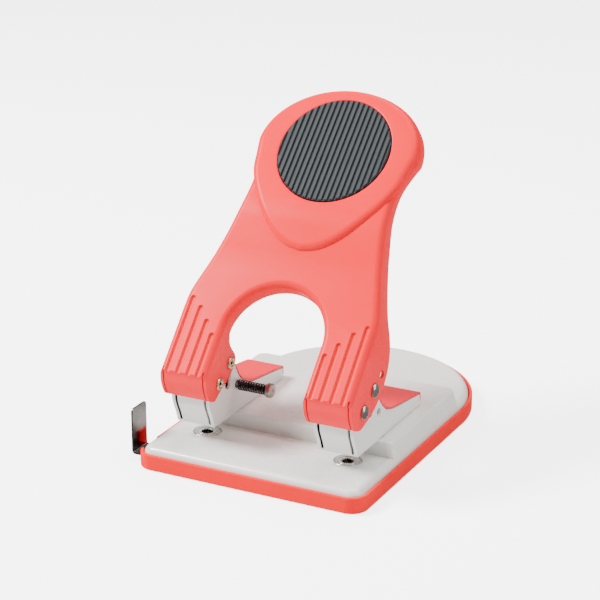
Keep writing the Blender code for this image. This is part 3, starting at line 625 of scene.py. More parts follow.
@dataclass
class Base:
    """The moulded tray and the stamped plate that sits in it."""

    finishes: Finishes
    half: float = 63.3
    front: float = -34.3
    rear_centre: float = 91.5
    corner: float = 9.0
    rim_top: float = 8.4
    rim_wall: float = 1.8
    rim_lip: float = 0.35
    foot_round: float = 0.9
    rim_round: float = 0.7
    floor: float = 1.6
    plate_t: float = 1.2
    edge_in: float = 4.2
    edge_drop: float = 5.0
    plateau_front: float = 10.9
    plateau_rear: float = 93.0
    plateau_corner: float = 4.0
    draft: float = 2.6
    boss_r: float = 7.0
    flange_r: float = 9.5
    flange_t: float = 1.6

    def ring(self, inset: float, z: float) -> list[Place]:
        """The base's outline, moved in, at a height."""
        half, front = self.half - inset, self.front + inset
        corner = self.corner - inset
        left = arc((-half + corner, front + corner), corner, 180, 270, 14)
        right = arc((half - corner, front + corner), corner, 270, 360, 14)
        rear = arc((0, self.rear_centre), half, 0, 180, 96)
        return [(x, y, z) for x, y in left + right + rear]

    def plateau_ring(self, inset: float, z: float) -> list[Place]:
        """The raised part's outline, whose front and rear lean in less than its sides."""
        half = self.half - self.rim_wall - SIZES.gap - inset - self.plateau_corner
        front = self.plateau_front + inset / 3 + self.plateau_corner
        rear = self.plateau_rear - inset / 3 - self.plateau_corner
        ring: list[Point] = []
        for centre, start in (((half, front), 270), ((half, rear), 0), ((-half, rear), 90),
                              ((-half, front), 180)):
            ring += arc(centre, self.plateau_corner, start, start + 90, 12)
        return [(x, y, z) for x, y in ring]

    def guide_slot(self, slack: float) -> Point:
        """The opening for the paper guide, from front to rear."""
        return SIZES.guide_y[0] - slack, SIZES.guide_y[1] + slack

    def build_tray(self) -> None:
        """Red tray: a rounded rim, a foot radius and the notch for the guide."""
        foot, rim = self.foot_round, self.rim_round
        outer = [self.ring(foot * rise, foot * run) for run, rise in quarter(4)]
        outer += [self.ring(rim * run, self.rim_top - rim * rise) for run, rise in quarter(4)]
        tray = loft("tray_moulding", outer)
        wall, lip = self.rim_wall, self.rim_wall - self.rim_lip
        inner = [self.ring(wall + 0.5, self.floor), self.ring(wall, self.floor + 0.5),
                 self.ring(wall, self.rim_top - 0.4), self.ring(lip, self.rim_top + 0.05),
                 self.ring(lip, self.rim_top + 2)]
        combine(tray, loft("inner", inner))
        combine(tray, block("notch", (-self.half - 1, -self.half + wall + 1),
                            self.guide_slot(0.9), (SIZES.guide_z[0] - 0.3, self.rim_top + 1)))
        complete(tray, self.finishes.red_moulding, "tray", "chip_tray", 50)

    def lower_shell(self, wall: float, bottom: float) -> Solid:
        """The low decks with their rounded edge, or the space under them."""
        out = self.rim_wall + SIZES.gap + wall
        rings = [self.ring(out, bottom)]
        rings += [self.ring(out + self.edge_in * run,
                            SIZES.deck_z - self.edge_drop * rise - wall)
                  for run, rise in quarter(9)]
        return loft("lower_shell", rings)

    def plateau_shell(self, wall: float, bottom: float) -> Solid:
        """The raised middle, or the space under it."""
        rounding = self.edge_in - self.draft
        rings = [self.plateau_ring(wall + 0.2, bottom),
                 self.plateau_ring(wall + 0.3, self.rim_top)]
        rings += [self.plateau_ring(wall + self.draft + rounding * run,
                                    SIZES.plateau_z - wall - rounding * rise)
                  for run, rise in quarter(7)]
        return loft("plateau_shell", rings)

    def build_plate(self) -> None:
        """Stamped plate with soft folds, and its die and rivet holes."""
        plate = self.lower_shell(0, self.floor + SIZES.gap)
        plate.name = "deck_pressing"
        combine(plate, self.plateau_shell(0, self.rim_top - 2), Operation.JOIN)
        hollow = self.lower_shell(self.plate_t, -1)
        combine(hollow, self.plateau_shell(self.plate_t, -2), Operation.JOIN)
        combine(plate, hollow)
        holes = [(0, self.boss_r, 64)] + [(y, SIZES.rivet_r, 24) for y in SIZES.rivet_y]
        for side in Side:
            for y, radius, segments in holes:
                centre = (side.value * SIZES.head_x, y, 0)
                combine(plate, rod("hole", radius + SIZES.gap, centre, "Z", 0,
                                   SIZES.plateau_z + 5, segments))
        combine(plate, block("notch", (-self.half - 1, -self.half + 6), self.guide_slot(0.6),
                             (0, SIZES.guide_z[1] + 0.6)))
        complete(plate, self.finishes.pale_enamel, "punch_base", "base_plate", 50)

    def build_dies(self) -> None:
        """Die buttons with a chamfered hole and a small turned groove."""
        seat = SIZES.deck_z - self.plate_t - SIZES.gap
        under, top = seat - self.flange_t, SIZES.deck_z - 0.1
        bore, boss = SIZES.bore, self.boss_r
        profile = [(bore, under), (self.flange_r, under), (self.flange_r, seat), (boss, seat),
                   (boss, top - 0.25), (boss - 0.25, top), (bore + 2.3, top),
                   (bore + 2.1, top - 0.2), (bore + 1.8, top - 0.2), (bore + 1.6, top),
                   (bore + 0.4, top), (bore, top - 0.4)]
        for side in Side:
            place = (side.value * SIZES.head_x, 0, 0)
            die = turned("die_button_" + side.label, profile, 64, place)
            complete(die, self.finishes.steel, "punch_base", "die_" + side.label, 25)

    def build(self) -> None:
        """Build the whole base."""
        self.build_tray()
        self.build_plate()
        self.build_dies()


# ---- punching units


@dataclass
class PunchUnit:
    """One bracket with its cover, punch, bush, springs and pins."""

    finishes: Finishes
    side: Side
    front: float = -11.2
    rear: float = 62.8
    panel_half: float = 7.6
    slit: float = 1.3
    ear_r: float = 8.5
    panel_rise: float = 18.0
    tail_rise: float = 7.2
    cover_t: float = 1.0
    cover_lip: float = 5.0
    pin_head_r: float = 3.6
    pin_head_t: float = 1.9
    rivet_head_r: float = 3.6
    rivet_head_t: float = 1.1
    bush_r: float = 4.5
    bush_flange_r: float = 6.0
    bush_flange_t: float = 1.8
    punch_r: float = 2.8
    punch_head_r: float = 5.0
    punch_head_t: float = 3.0
    punch_per_radian: float = 13.34
    # How far in from the sheet's outer faces the painted shade on the bracket's inside starts, in
    # sheet thicknesses.
    primer_edge: float = 0.8

    @property
    def x(self) -> float:
        """The unit's centre plane."""
        return self.side.value * SIZES.head_x

    @property
    def punch_top(self) -> float:
        """The top of the punch, just under the drive pin."""
        return SIZES.drive[1] - SIZES.pin_r - SIZES.gap - 0.1

    def named(self, word: str) -> str:
        """A piece's or a node's name on this side."""
        return f"{word}_{self.side.label}"

    def cover_line(self) -> list[Point]:
        """The cover's outer face from its upper end to the tail's rear edge."""
        rise = SIZES.plateau_z
        tail = rise + self.tail_rise
        return smooth([(11.8, rise + 26.6), (14.9, rise + 21.1), (19.1, rise + 16.6),
                       (24.6, rise + 13.5), (32.0, rise + 11.6), (self.rear - 9, tail + 1.4),
                       (self.rear + SIZES.gap, tail)], 10)

    def front_line(self) -> list[Point]:
        """The bracket's front edge from the bottom corner up to the lever's foot."""
        z, y = SIZES.bracket_z, self.front
        return smooth([(y, z), (y - 1.5, z + 4.6), (y - 3.4, z + 8.8), (y - 5.0, z + 12.9),
                       (y - 5.7, z + self.panel_rise)], 8)

    def bracket_outline(self) -> list[Point]:
        """The bracket from the side."""
        under = offset(self.cover_line(), -(self.cover_t + SIZES.gap))
        ear = arc(SIZES.pivot, self.ear_r, 105, 190, 18)
        drive_y, drive_z = SIZES.drive
        top = drive_z + SIZES.pin_r + SIZES.gap + 2.4
        crown = smooth([(drive_y + 8.3, drive_z + 0.2), (drive_y + 6.0, drive_z + 3.6),
                        (drive_y + 1.5, top), (drive_y - 3.0, top - 0.4), ear[0]], 8)
        tail = [(self.rear, SIZES.bracket_z), (self.rear, under[-1][1])]
        rear = [point for point in reversed(under) if point[0] < self.rear - 1]
        line = self.front_line()
        return line[:1] + tail + rear + crown[:-1] + ear + line[:0:-1]

    def slot_outline(self) -> list[Point]:
        """The slot that the drive pin runs in, an arc about the pivot."""
        start, end = SIZES.drive_angle - SIZES.stroke - 1.5, SIZES.drive_angle + 1.5
        half, radius = SIZES.pin_r + SIZES.gap, SIZES.drive_arm
        outline = arc(SIZES.pivot, radius + half, start, end, 24)
        outline += arc(SIZES.about_pivot(radius, end), half, end, end + 180, 14)[1:-1]
        outline += arc(SIZES.pivot, radius - half, end, start, 24)
        outline += arc(SIZES.about_pivot(radius, start), half, start + 180, start + 360, 14)[1:-1]
        return outline

    def build_bracket(self) -> None:
        """Folded bracket: a pan whose outer folds are soft, with slits beside its tongue."""
        x, half, sheet = self.x, SIZES.bracket_half, SIZES.sheet
        bracket = prism(self.named("bracket_fold"), self.bracket_outline(), "X",
                        x - half, x + half)
        floor, top = SIZES.bracket_z + sheet, SIZES.bracket_z + self.panel_rise - 1.0
        rising = [point for point in offset(self.front_line(), -sheet)
                  if floor < point[1] < top]
        ahead, far = -40, 90
        inside = [(rising[0][0] + 0.4, floor), (far, floor), (far, far), (ahead, far),
                  (ahead, top), (rising[-1][0], top)] + rising[::-1]
        inner = half - sheet
        combine(bracket, prism("inside", inside, "X", x - inner, x + inner))
        for sign in (-1, 1):
            edge = x + sign * self.panel_half
            combine(bracket, block("slit", (edge, edge + sign * self.slit),
                                   (ahead, self.front + 2.2), (floor - 0.4, top + 2)))
            wall = x + sign * (half - sheet / 2)
            holes = [(SIZES.pin_r + SIZES.gap, *SIZES.pivot)]
            if sign > 0 or self.side is Side.LEFT:
                holes.append((SIZES.lock_hole_r, *SIZES.lock))
            for radius, y, z in holes:
                combine(bracket, rod("hole", radius, (wall, y, z), "X", -sheet, sheet, 36))
        combine(bracket, prism("slot", self.slot_outline(), "X", x - half - 1, x + half + 1))
        holes = [(0, self.bush_r, 40)] + [(y, SIZES.rivet_r, 24) for y in SIZES.rivet_y]
        for y, radius, segments in holes:
            combine(bracket, rod("hole", radius + SIZES.gap, (x, y, 0), "Z",
                                 SIZES.bracket_z - 1, floor + 1, segments))
        soften(bracket, 0.35, 3)
        complete(bracket, self.finishes.white_enamel, "punch_base",
                 self.named("bracket"))
        # Paint shade on the bracket's inner faces.
        self.prime_inside(bracket)

    def prime_inside(self, bracket: Solid) -> None:
        """Paint the bracket's inner faces with a dark finish as painted shade: it stands for the
        shadow inside the bracket, whose real inside is enamelled like its outside.
        """
        bracket.data.materials.append(self.finishes.primer)
        reach = (SIZES.bracket_half - SIZES.sheet * self.primer_edge) * MM
        low = (SIZES.bracket_z + SIZES.sheet * self.primer_edge) * MM
        for face in bracket.data.polygons:
            across = face.center.x - self.x * MM
            inward = face.normal.x * across < 0 or abs(face.normal.x) < 0.3
            behind = face.normal.y > -0.2 or face.center.y > (self.front + 2.5) * MM
            if abs(across) < reach and face.center.z > low and inward and behind:
                face.material_index = 1

    def build_cover(self) -> None:
        """Red cover with a rolled rear lip."""
        outer = self.cover_line()
        inner = offset(outer, -self.cover_t)
        lip_y, tail = self.rear + SIZES.gap, outer[-1][1]
        lip_z = tail - self.cover_lip
        bend = arc((lip_y, tail - self.cover_t), self.cover_t, 90, 0, 8)
        outline = outer[:-1] + bend + [(lip_y + self.cover_t, lip_z), (lip_y, lip_z),
                                       (lip_y, inner[-1][1])] + inner[-2::-1]
        half = SIZES.bracket_half
        cover = prism(self.named("tail_cover"), outline, "X", self.x - half, self.x + half)
        soften(cover, 0.3, 3)
        complete(cover, self.finishes.red_cover, "punch_base",
                 self.named("bracket_cover"))

    def build_bush(self) -> None:
        """Brass bush in the bracket's floor."""
        bottom, seat = SIZES.bracket_z, SIZES.bracket_z + SIZES.sheet + SIZES.gap
        bore, radius, flange = SIZES.bore, self.bush_r, self.bush_flange_r
        top = seat + self.bush_flange_t
        profile = [(bore, bottom + 0.3), (bore + 0.3, bottom), (radius - 0.3, bottom),
                   (radius, bottom + 0.3), (radius, seat), (flange - 0.2, seat),
                   (flange, seat + 0.2), (flange, top - 0.3), (flange - 0.3, top), (bore, top)]
        bush = turned(self.named("bush"), profile, 56, (self.x, 0, 0))
        complete(bush, self.finishes.brass, "punch_base", self.named("punch_guide"), 30)

    def build_punch(self) -> None:
        """Ground punch with a hollow-ground tip and a headed top."""
        tip, top, radius = SIZES.bracket_z + SIZES.gap, self.punch_top, self.punch_r
        head, head_r = top - self.punch_head_t, self.punch_head_r
        profile = [(0, tip + 0.5), (radius - 0.6, tip), (radius - 0.1, tip),
                   (radius, tip + 0.15), (radius, head), (head_r - 0.3, head),
                   (head_r, head + 0.3), (head_r, top - 0.6), (head_r - 0.6, top), (0, top)]
        punch = turned(self.named("punch_rod"), profile, 48, (self.x, 0, 0))
        complete(punch, self.finishes.steel, "punch_" + self.side.label[0],
                 self.named("punch"), 30)

    def build_spring(self) -> None:
        """Return spring round the punch, drawn at rest; the real one closes up as the punch goes
        down.
        """
        low = SIZES.bracket_z + SIZES.sheet + self.bush_flange_t + 2 * SIZES.gap
        high = self.punch_top - SIZES.gap - self.punch_head_t
        spring = coil(self.named("return_spring"), 3.9, 1.0, 6, high - low)
        spring.data.transform(Matrix.Translation((self.x, 0, low)))
        complete(spring, self.finishes.steel, "punch_base", self.named("punch_spring"))
        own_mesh(spring)

    def seat(self, obj: Solid, place: Point, side: Side) -> None:
        """Move a piece turned about X to a pin's place, facing a side."""
        turn = Matrix.Rotation(0 if side is Side.RIGHT else pi, 4, "Z")
        obj.data.transform(Matrix.Translation((self.x, *place)) @ turn)

    def build_pins(self) -> None:
        """Pivot pin and drive pin: domed outside, rolled over a hollow end inside."""
        face, pin_r, hollow_r, hollow = SIZES.leg_half + SIZES.gap, SIZES.pin_r, 1.5, 5.0
        dome = arc((0, face + 0.3), self.pin_head_r, 0, 90, 10, self.pin_head_t - 0.3)
        profile = [(0, hollow - face), (hollow_r, hollow - face), (hollow_r, -face),
                   (pin_r, -face), (pin_r, face), (self.pin_head_r, face)]
        profile += dome[:-1] + [(0, face + self.pin_head_t)]
        roll = [(1.35, 0.02), (2.4, 0.02), (3.2, 0.0), (3.15, 0.45), (2.7, 0.85),
                (2.1, 0.9), (1.6, 0.65)]
        inward = Side.LEFT if self.side is Side.RIGHT else Side.RIGHT
        for kind, place in (("pivot", SIZES.pivot), ("drive", SIZES.drive)):
            pin = turned(self.named(kind + "_rivet"), profile, 48, (0, 0, 0), "X")
            self.seat(pin, place, self.side)
            complete(pin, self.finishes.zinc, "lever", self.named(kind + "_pin"), 30)
            eyelet = turned(self.named("eyelet_" + kind), roll, 48, (face, 0, 0), "X")
            self.seat(eyelet, place, inward)
            complete(eyelet, self.finishes.brass, "lever", sharp=50)

    def build_floor_rivets(self) -> None:
        """Rivets that hold the bracket's floor to the plate."""
        low, high = SIZES.plateau_z - 1.5, SIZES.bracket_z + SIZES.sheet + SIZES.gap
        head_r, head_t = self.rivet_head_r, self.rivet_head_t
        profile = [(0, low - head_t)] + arc((0, low), head_r, 270, 360, 8, head_t)[1:]
        profile += [(SIZES.rivet_r, low), (SIZES.rivet_r, high)]
        profile += arc((0, high), head_r, 0, 90, 8, head_t)
        for end, y in zip(("front", "rear"), SIZES.rivet_y):
            rivet = turned(f"{self.named('floor_rivet')}_{end}", profile, 32, (self.x, y, 0))
            complete(rivet, self.finishes.zinc, "punch_base",
                     f"{self.named('bracket_rivet')}_{end}", 30)

    def build(self) -> None:
        """Build the whole unit."""
        self.build_bracket()
        self.build_cover()
        self.build_bush()
        self.build_punch()
        self.build_spring()
        self.build_pins()
        self.build_floor_rivets()


# ---- lever


@dataclass
class Lever:
    """The pressed lever. It is drawn flat, x across and y up its slope, then tilted."""

    finishes: Finishes
    reach: float = 70.0
    top: float = 169.5
    head_half: float = 45.4
    bends: tuple[tuple[float, float, float], ...] = ((88.0, 100.0, 8.2), (58.0, 72.0, -4.0))
    head_centre: float = 133.0
    arch_centre: float = 27.5
    arch_depth: float = 9.4
    edge_round: float = 3.2
    tongue_foot: float = 74.0
    tongue_margin: float = 1.2
    tongue_rise: float = 2.0
    tongue_ramp: float = 3.4
    slit: float = 0.7
    slit_depth: float = 7.4
    pad_centre: float = 131.0
    pad_r: float = 30.0
    pad_t: float = 2.6
    rib_pitch: float = 3.0
    groove: float = 1.0
    groove_depth: float = 0.9
    flute_depth: float = 1.15
    flute_width: float = 3.0
    flutes: dict[float, float] = field(
        default_factory=lambda: {8.5: 41.5, 2.6: 37.0, -3.3: 30.3, -8.6: 23.6})

    @property
    def place(self) -> Matrix:
        """Takes the flat lever to its place at rest."""
        tilt = Matrix.Rotation(radians(SIZES.tilt), 4, "X")
        return Matrix.Translation((0, SIZES.foot_y, SIZES.foot_z)) @ tilt

    def on_lever(self, y: float, z: float) -> Point:
        """A world point (y, z) as (along, out) on the flat lever."""
        point = self.place.inverted() @ Vector((0, y, z))
        return point.y, point.z

    def bend_face(self, obj: Solid) -> None:
        """Bend the flat lever: steeper above its legs, then leaning back at its head."""
        steps = 10
        for start, end, degrees in self.bends:
            length = end - start
            radius = length / radians(degrees)
            with editing(obj) as bm:
                for i in range(steps + 1):
                    bmesh.ops.bisect_plane(bm, geom=[*bm.verts, *bm.edges, *bm.faces],
                                           dist=MERGE, plane_no=(0, 1, 0),
                                           plane_co=(0, start + length * i / steps, 0))
                for vert in bm.verts:
                    past = vert.co.y - start
                    run = min(max(past, 0.0), length)
                    beyond, angle, reach = past - run, run / radius, radius + vert.co.z
                    vert.co.y = start + reach * sin(angle) + beyond * cos(angle)
                    vert.co.z = reach * cos(angle) - radius - beyond * sin(angle)

    def head_arc(self, inset: float) -> list[Point]:
        """The head's right half, moved in, from its widest point to its top."""
        return arc((0, self.head_centre), self.head_half - inset, 0, 90, 30,
                   self.top - self.head_centre - inset)

    def half_outline(self, inset: float, foot: float) -> list[Point]:
        """The right edge from the leg's outer foot up to the top of the head."""
        x = SIZES.head_x + SIZES.leg_half - inset
        side = smooth([(x, 26.0), (x, 36.0), (x - 0.5, 44.0), (x - 2.8, 53.0), (x - 6.8, 67.0),
                       (x - 10.4, 83.0), (x - 12.8, 100.0), (x - 13.0, 114.0),
                       (x - 10.7, 124.0), (self.head_half - inset, self.head_centre)], 7)
        return [(x, foot)] + side[:-1] + self.head_arc(inset)

    def outline(self, inset: float, foot: float) -> list[Point]:
        """The whole face: legs, arch, waist and head."""
        right = self.half_outline(inset, foot)
        left = [(-x, y) for x, y in reversed(right[:-1])]
        radius = SIZES.head_x - SIZES.leg_half + inset
        return (right + left + [(-radius, foot)]
                + arc((0, self.arch_centre), radius, 180, 0, 48) + [(radius, foot)])

    def edge_block(self, name: str, inset: float, foot: float, top: float, depth: float,
                   radius: float, segments: int) -> Solid:
        """The face as a block whose upper edges are rounded, the feet's aside."""
        shape = prism(name, self.outline(inset, foot), "Z", -depth, top)
        with editing(shape) as bm:
            rim = [edge for edge in bm.edges
                   if all(abs(vert.co.z - top) < 0.01 for vert in edge.verts)
                   and not all(abs(vert.co.y - foot) < 0.01 for vert in edge.verts)]
            bmesh.ops.bevel(bm, geom=rim, offset=radius, segments=segments, profile=0.5,
                            affect="EDGES", clamp_overlap=True, material=-1)
        return shape

    def foot_line(self, inset: float) -> list[Point]:
        """The leg's front below the face, curving in to its lower edge."""
        y = SIZES.foot_y
        line = [(y + 0.2, 6.0), (y, 0.0)]
        line += smooth([(y + 0.9, -2.4), (y + 1.0, -6.5), (y + 2.1, -10.4), (y + 4.4, -14.9)], 5)
        return [self.on_lever(py, SIZES.foot_z + pz) for py, pz in offset(line, inset)]

    def flange_line(self) -> list[Point]:
        """The outer flange's rear edge from the leg's lower corner to the head's top."""
        return smooth([(-7.3, -15.6), (-4.6, -20.2), (2.4, -24.5), (9.0, -27.7), (17.0, -29.6),
                       (25.5, -29.7), (33.0, -27.6), (39.5, -24.0), (46.5, -18.8),
                       (55.0, -15.0), (66.0, -13.2), (90.0, -11.1), (106.0, -8.5),
                       (122.0, -7.2)], 6) + [(180.0, -7.2)]

    def inner_flange_line(self) -> list[Point]:
        """The inner flange's rear edge: shallow round the arch, deep over the pins."""
        depth = self.arch_depth
        return smooth([(-12.0, -17.0), (-4.0, -19.2), (2.5, -21.2), (8.5, -23.9),
                       (13.0, -25.0), (18.5, -25.4), (21.6, -22.8), (22.6, -18.5),
                       (23.6, -14.0), (26.5, -10.6), (32.0, -depth), (62.0, -depth)], 6)

    def tongue_outline(self, inset: float) -> list[Point]:
        """The raised panel: a rounded point below the pad that widens into the head."""
        low, margin = self.tongue_foot + inset, self.tongue_margin + inset
        half = self.head_half - margin
        side = [(6.5 * sqrt(rise) - inset / 2, low + rise) for rise in (1.5, 5, 10, 16, 23, 31)]
        side += [(half - 3.4, 115.0), (half - 1.6, 124.0)]
        side = smooth([(0.0, low)] + side + [(half, self.head_centre)], 5)
        right = side[:-1] + self.head_arc(margin)
        return right + [(-x, y) for x, y in reversed(right[1:-1])]

    def tongue(self) -> Solid:
        """The raised panel with a soft ramp for an edge."""
        sink = 0.5
        rings = [[(x, y, -1.2) for x, y in self.tongue_outline(0)]]
        for run, rise in quarter(10):
            height = self.tongue_rise - (self.tongue_rise + sink) * rise
            outline = self.tongue_outline(self.tongue_ramp * run)
            rings.append([(x, y, height) for x, y in outline])
        return loft("tongue", rings)

    def flute(self, x: float, top: float) -> Solid:
        """A round-bottomed channel with a round upper end, open at the leg's foot."""
        half = self.flute_width / 2
        outline = [(x - half, -20.0), (x + half, -20.0)] + arc((x, top - half), half, 0, 180, 12)
        rings = []
        for spread, height in ((0.25, -1.0), (0.6, -0.86), (0.85, -0.5), (1.02, 0.0),
                               (1.3, 0.5), (1.7, 1.2)):
            ring = []
            for px, py in outline:
                along = py if py < 0 else top - half + (py - top + half) * spread
                ring.append((x + (px - x) * spread, along, height * self.flute_depth))
            rings.append(ring)
        return loft("flute", rings)

    def build_pressing(self) -> None:
        """Form the lever: edges, tongue, flutes, flanges, slits and holes."""
        sheet, reach = SIZES.sheet, self.reach
        lever = self.edge_block("lever_pressing", 0, -30.0, 0.0, 45.0, self.edge_round, 7)
        side = self.foot_line(0) + self.flange_line()
        side += [(180.0, 12.0), self.on_lever(SIZES.foot_y + 5, 70.0)]
        combine(lever, prism("side", side, "X", -reach, reach), Operation.KEEP_COMMON)
        combine(lever, self.tongue(), Operation.JOIN)
        for side_of in Side:
            for across, top in self.flutes.items():
                combine(lever, self.flute(side_of.value * (SIZES.head_x + across), top))
        hollow = self.edge_block("hollow", sheet, -60.0, -sheet, 80.0, self.edge_round - sheet, 4)
        inside = self.foot_line(sheet) + [(-80, -80), (200, -80), (200, 12)]
        combine(hollow, prism("inside", inside, "X", -reach, reach), Operation.KEEP_COMMON)
        combine(lever, hollow)
        behind = self.inner_flange_line() + [(62.0, -90.0), (-60.0, -90.0), (-60.0, -17.0)]
        combine(lever, prism("behind", behind, "X", -SIZES.head_x, SIZES.head_x))
        slit_top = SIZES.foot_z + 1.2
        for sign in (-1, 1):
            for across in (-1, 1):
                wall = sign * SIZES.head_x + across * (SIZES.leg_half - sheet + 0.1)
                slit = block("slit", (wall, wall - across * self.slit),
                             (SIZES.foot_y - 5, SIZES.foot_y + self.slit_depth),
                             (slit_top - 25, slit_top))
                slit.data.transform(self.place.inverted())
                combine(lever, slit)
        rim, face = self.pad_r + SIZES.gap, self.tongue_rise
        pocket = [(0, 0), (rim, 0), (rim, face - 0.75), (rim + 0.25, face - 0.3),
                  (rim + 0.9, face), (rim + 3.0, face + 0.4), (0, face + 0.4)]
        combine(lever, turned("pocket", pocket, 120, (0, self.pad_centre, 0)))
        self.bend_face(lever)
        lever.data.transform(self.place)
        for place in (SIZES.pivot, SIZES.drive):
            combine(lever, rod("hole", SIZES.pin_r + 0.15, (0, *place), "X", -reach, reach))
        lock = SIZES.about_pivot(SIZES.lock_arm, SIZES.lock_angle + SIZES.stroke)
        for low, high in ((-reach, -45), (45, reach)):
            combine(lever, rod("hole", SIZES.lock_hole_r, (0, *lock), "X", low, high, 36))
        complete(lever, self.finishes.red_enamel, "lever", "lever", 32)

    def build_pad(self) -> None:
        """Ribbed rubber disc with rounded ribs."""
        base, reach, edge = SIZES.gap, self.pad_r + 2, 0.5
        top = base + self.pad_t
        low = top - self.groove_depth
        line: list[Point] = []
        for i in range(int(2 * reach / self.rib_pitch)):
            left = -reach + i * self.rib_pitch
            right, rib = left + self.rib_pitch, left + self.groove
            line += [(left, low), (rib, low), (rib + 0.1, top - 0.3), (rib + 0.4, top),
                     (right - 0.4, top), (right - 0.1, top - 0.3)]
        line += [(right, low), (right, base), (-reach, base)]
        pad = prism("ribbed_pad", line, "Y", self.pad_centre - reach, self.pad_centre + reach)
        disc = turned("disc", [(0, -5), (self.pad_r, -5), (self.pad_r, top - edge),
                               (self.pad_r - edge, top + 0.01), (0, top + 0.01)], 128,
                      (0, self.pad_centre, 0))
        combine(pad, disc, Operation.KEEP_COMMON)
        self.bend_face(pad)
        pad.data.transform(self.place)
        complete(pad, self.finishes.rubber, "lever", "grip_pad")

    def build(self) -> None:
        """Build the lever and its pad."""
        self.build_pressing()
        self.build_pad()


# ---- lock


@dataclass
class Lock:
    """The sprung lock pin on the left unit."""

    finishes: Finishes
    pin_r: float = 1.7
    standoff: float = 17.6
    knob_r: float = 3.75
    knob_t: float = 3.0
    wire: float = 0.76
    spring_r: float = 2.45
    turns: int = 11
    travel: float = 6.0
    teeth: int = 24
    tooth_half: float = 0.22
    tooth_depth: float = 0.28
    tip_t: float = 0.8
    clip_t: float = 0.8
    clip_w: float = 2.2

    def build_pin(self, wall: float) -> None:
        """Pin with its knurled knob, through the bracket's inner wall."""
        pin_r, knob_r, knob = self.pin_r, self.knob_r, wall + self.standoff
        tip = -SIZES.head_x - SIZES.bracket_half + SIZES.sheet + self.tip_t
        end = knob + self.knob_t
        profile = [(0, tip), (pin_r - 0.5, tip), (pin_r, tip + 0.8), (pin_r, knob),
                   (knob_r - 0.4, knob), (knob_r, knob + 0.4), (knob_r, end - 0.6),
                   (knob_r - 0.6, end), (1.2, end), (0.9, end - 0.4), (0, end - 0.4)]
        pin = turned("lock_plunger", profile, 48, (0, 0, 0), "X")
        tooth = [(-self.tooth_half, knob_r + 0.3), (0, knob_r - self.tooth_depth),
                 (self.tooth_half, knob_r + 0.3)]
        for i in range(self.teeth):
            groove = prism("groove", tooth, "X", knob - 1, end + 1)
            groove.data.transform(Matrix.Rotation(2 * pi * i / self.teeth, 4, "X"))
            combine(pin, groove)
        pin.data.transform(Matrix.Translation((0, *SIZES.lock)))
        complete(pin, self.finishes.knurl, "lock", "lock_pin", 28)

    def build(self) -> None:
        """Build the pin, the clip and the spring."""
        y, z = SIZES.lock
        wall = -SIZES.head_x + SIZES.bracket_half
        self.build_pin(wall)
        inside = wall - SIZES.sheet - SIZES.gap
        bore, rim = self.pin_r + SIZES.gap / 2, self.pin_r + self.clip_w
        ring = [(bore, inside - self.clip_t), (rim, inside - self.clip_t), (rim, inside),
                (bore, inside)]
        clip = turned("lock_clip", ring, 40, (0, y, z), "X")
        soften(clip, 0.12, 2)
        complete(clip, self.finishes.black_wire, "lock", "lock_pin_clip")
        length, start = self.standoff - 2 * SIZES.gap, wall + SIZES.gap
        spring = coil("lock_coil", self.spring_r, self.wire, self.turns, length)
        spring.data.transform(Matrix.Translation((start, y, z)) @ Matrix.Rotation(pi / 2, 4, "Y"))
        complete(spring, self.finishes.black_wire, "punch_base", "lock_spring")
        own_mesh(spring)


# ---- paper guide


@dataclass
class PaperGuide:
    """The chromed strip with its upright stop. What carries it under the plate keeps its CAD
    shape.
    """

    finishes: Finishes
    tab_x: float = -69.5
    tab_top: float = 27.6
    tail_x: float = 45.0
    bend: float = 1.9
    corner: float = 2.0

    def build(self) -> None:
        """Build the strip with a round bend and rounded corners."""
        (front, rear), (low, high) = SIZES.guide_y, SIZES.guide_z
        thickness, bend, tab_x, top = high - low, self.bend, self.tab_x, self.tab_top
        centre = (tab_x + bend, low + bend)
        outline = [(tab_x, top)] + arc(centre, bend, 180, 270, 8)
        outline += [(self.tail_x, low), (self.tail_x, high)]
        outline += arc(centre, bend - thickness, 270, 180, 8) + [(tab_x + thickness, top)]
        guide = prism("paper_stop", outline, "Y", front, rear)
        tab = fillet([(front, -5), (rear, -5), (rear, top), (front, top)], self.corner)
        combine(guide, prism("keep", tab, "X", tab_x - 2, self.tail_x + 2),
                Operation.KEEP_COMMON)
        soften(guide, 0.15, 2)
        complete(guide, self.finishes.chrome, "guide", "paper_guide")


# ---- stage


@dataclass(frozen=True)
class Lamp:
    """A square area light, in metres and watts, that points at the object."""

    name: str
    place: Place
    size: float
    power: float

    def build(self) -> None:
        """Hang the light."""
        light = bpy.data.lights.new(self.name, "AREA")
        light.shape = "SQUARE"
        light.size = self.size
        light.energy = self.power
        lamp = bpy.data.objects.new(self.name, light)
        lamp.location = self.place
        aim = Vector((0, 0.02, 0.06)) - lamp.location
        lamp.rotation_euler = aim.to_track_quat("-Z", "Y").to_euler()
        bpy.context.collection.objects.link(lamp)


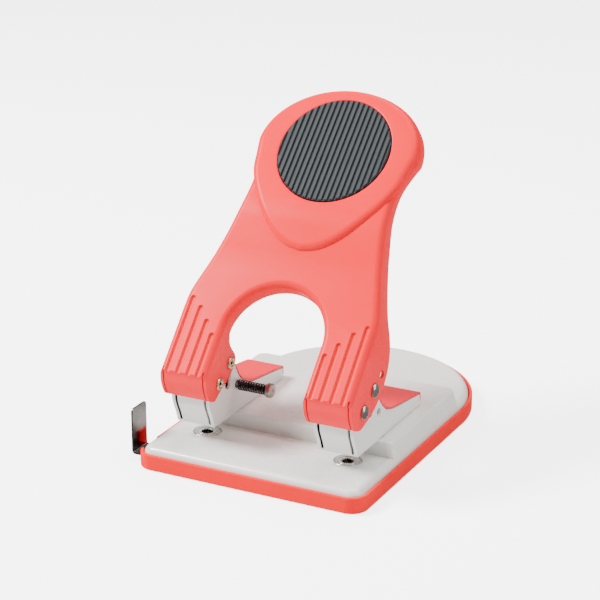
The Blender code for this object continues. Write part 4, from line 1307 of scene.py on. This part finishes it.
@dataclass
class Studio:
    """Floor, lights and camera."""

    finishes: Finishes
    lamps: tuple[Lamp, ...] = (Lamp("key", (-0.95, -0.42, 1.15), 0.5, 66.0),
                               Lamp("fill", (1.25, 0.05, 0.80), 0.9, 11.0),
                               Lamp("top", (0.1, 0.45, 1.3), 1.1, 26.0))
    air: float = 0.32
    azimuth: float = 27.1115
    elevation: float = 20.0844
    distance: float = 1.018877
    target: Place = (0.01331, 0.0, 0.09167)
    focal: float = 2086.76
    image: float = 600.0
    sensor: float = 36.0

    def build_floor(self) -> None:
        """A wide pale floor."""
        bm = bmesh.new()
        bmesh.ops.create_grid(bm, x_segments=24, y_segments=24, size=6.0)
        mesh = bpy.data.meshes.new("floor")
        bm.to_mesh(mesh)
        bm.free()
        mesh.materials.append(self.finishes.backdrop)
        floor = bpy.data.objects.new("floor", mesh)
        bpy.context.collection.objects.link(floor)
        floor.visible_glossy = False

    def build_camera(self) -> None:
        """The camera, turned to the object's three-quarter view."""
        turn, lift = radians(self.azimuth), radians(self.elevation)
        away = Vector((sin(turn) * cos(lift), -cos(turn) * cos(lift), sin(lift)))
        camera = bpy.data.cameras.new("camera")
        camera.lens = self.focal / self.image * self.sensor
        camera.sensor_width = self.sensor
        camera.clip_start = 0.01
        holder = bpy.data.objects.new("camera", camera)
        holder.location = Vector(self.target) + away * self.distance
        holder.rotation_euler = (-away).to_track_quat("-Z", "Y").to_euler()
        bpy.context.collection.objects.link(holder)
        bpy.context.scene.camera = holder

    def build(self) -> None:
        """Build the stage."""
        self.build_floor()
        for lamp in self.lamps:
            lamp.build()
        world = bpy.data.worlds.new("studio_air")
        world.use_nodes = True
        background = world.node_tree.nodes["Background"]
        background.inputs["Color"].default_value = (1, 1, 1, 1)
        background.inputs["Strength"].default_value = self.air
        bpy.context.scene.world = world
        self.build_camera()


def dress_frame(nodes: dict[str, Solid], finishes: Finishes) -> None:
    """Give the carried-over CAD nodes their finishes.

    Args:
        nodes: the frame's nodes by name.
        finishes: the punch's finishes.
    """
    dressed = {"guide_channel": finishes.zinc, "guide_leaf_spring": finishes.black_wire}
    for name, finish in dressed.items():
        for place in nodes[name].material_slots:
            place.material = finish
        LOG.info("%s keeps its CAD shape", name)


def main() -> None:
    """Build the punch around its frame."""
    logging.basicConfig(level=logging.INFO, format="%(name)s: %(message)s")
    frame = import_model()
    finishes = Finishes()
    dress_frame(frame["nodes"], finishes)
    Base(finishes).build()
    for side in Side:
        PunchUnit(finishes, side).build()
    Lever(finishes).build()
    Lock(finishes).build()
    PaperGuide(finishes).build()
    Studio(finishes).build()


if __name__ == "__main__":
    main()
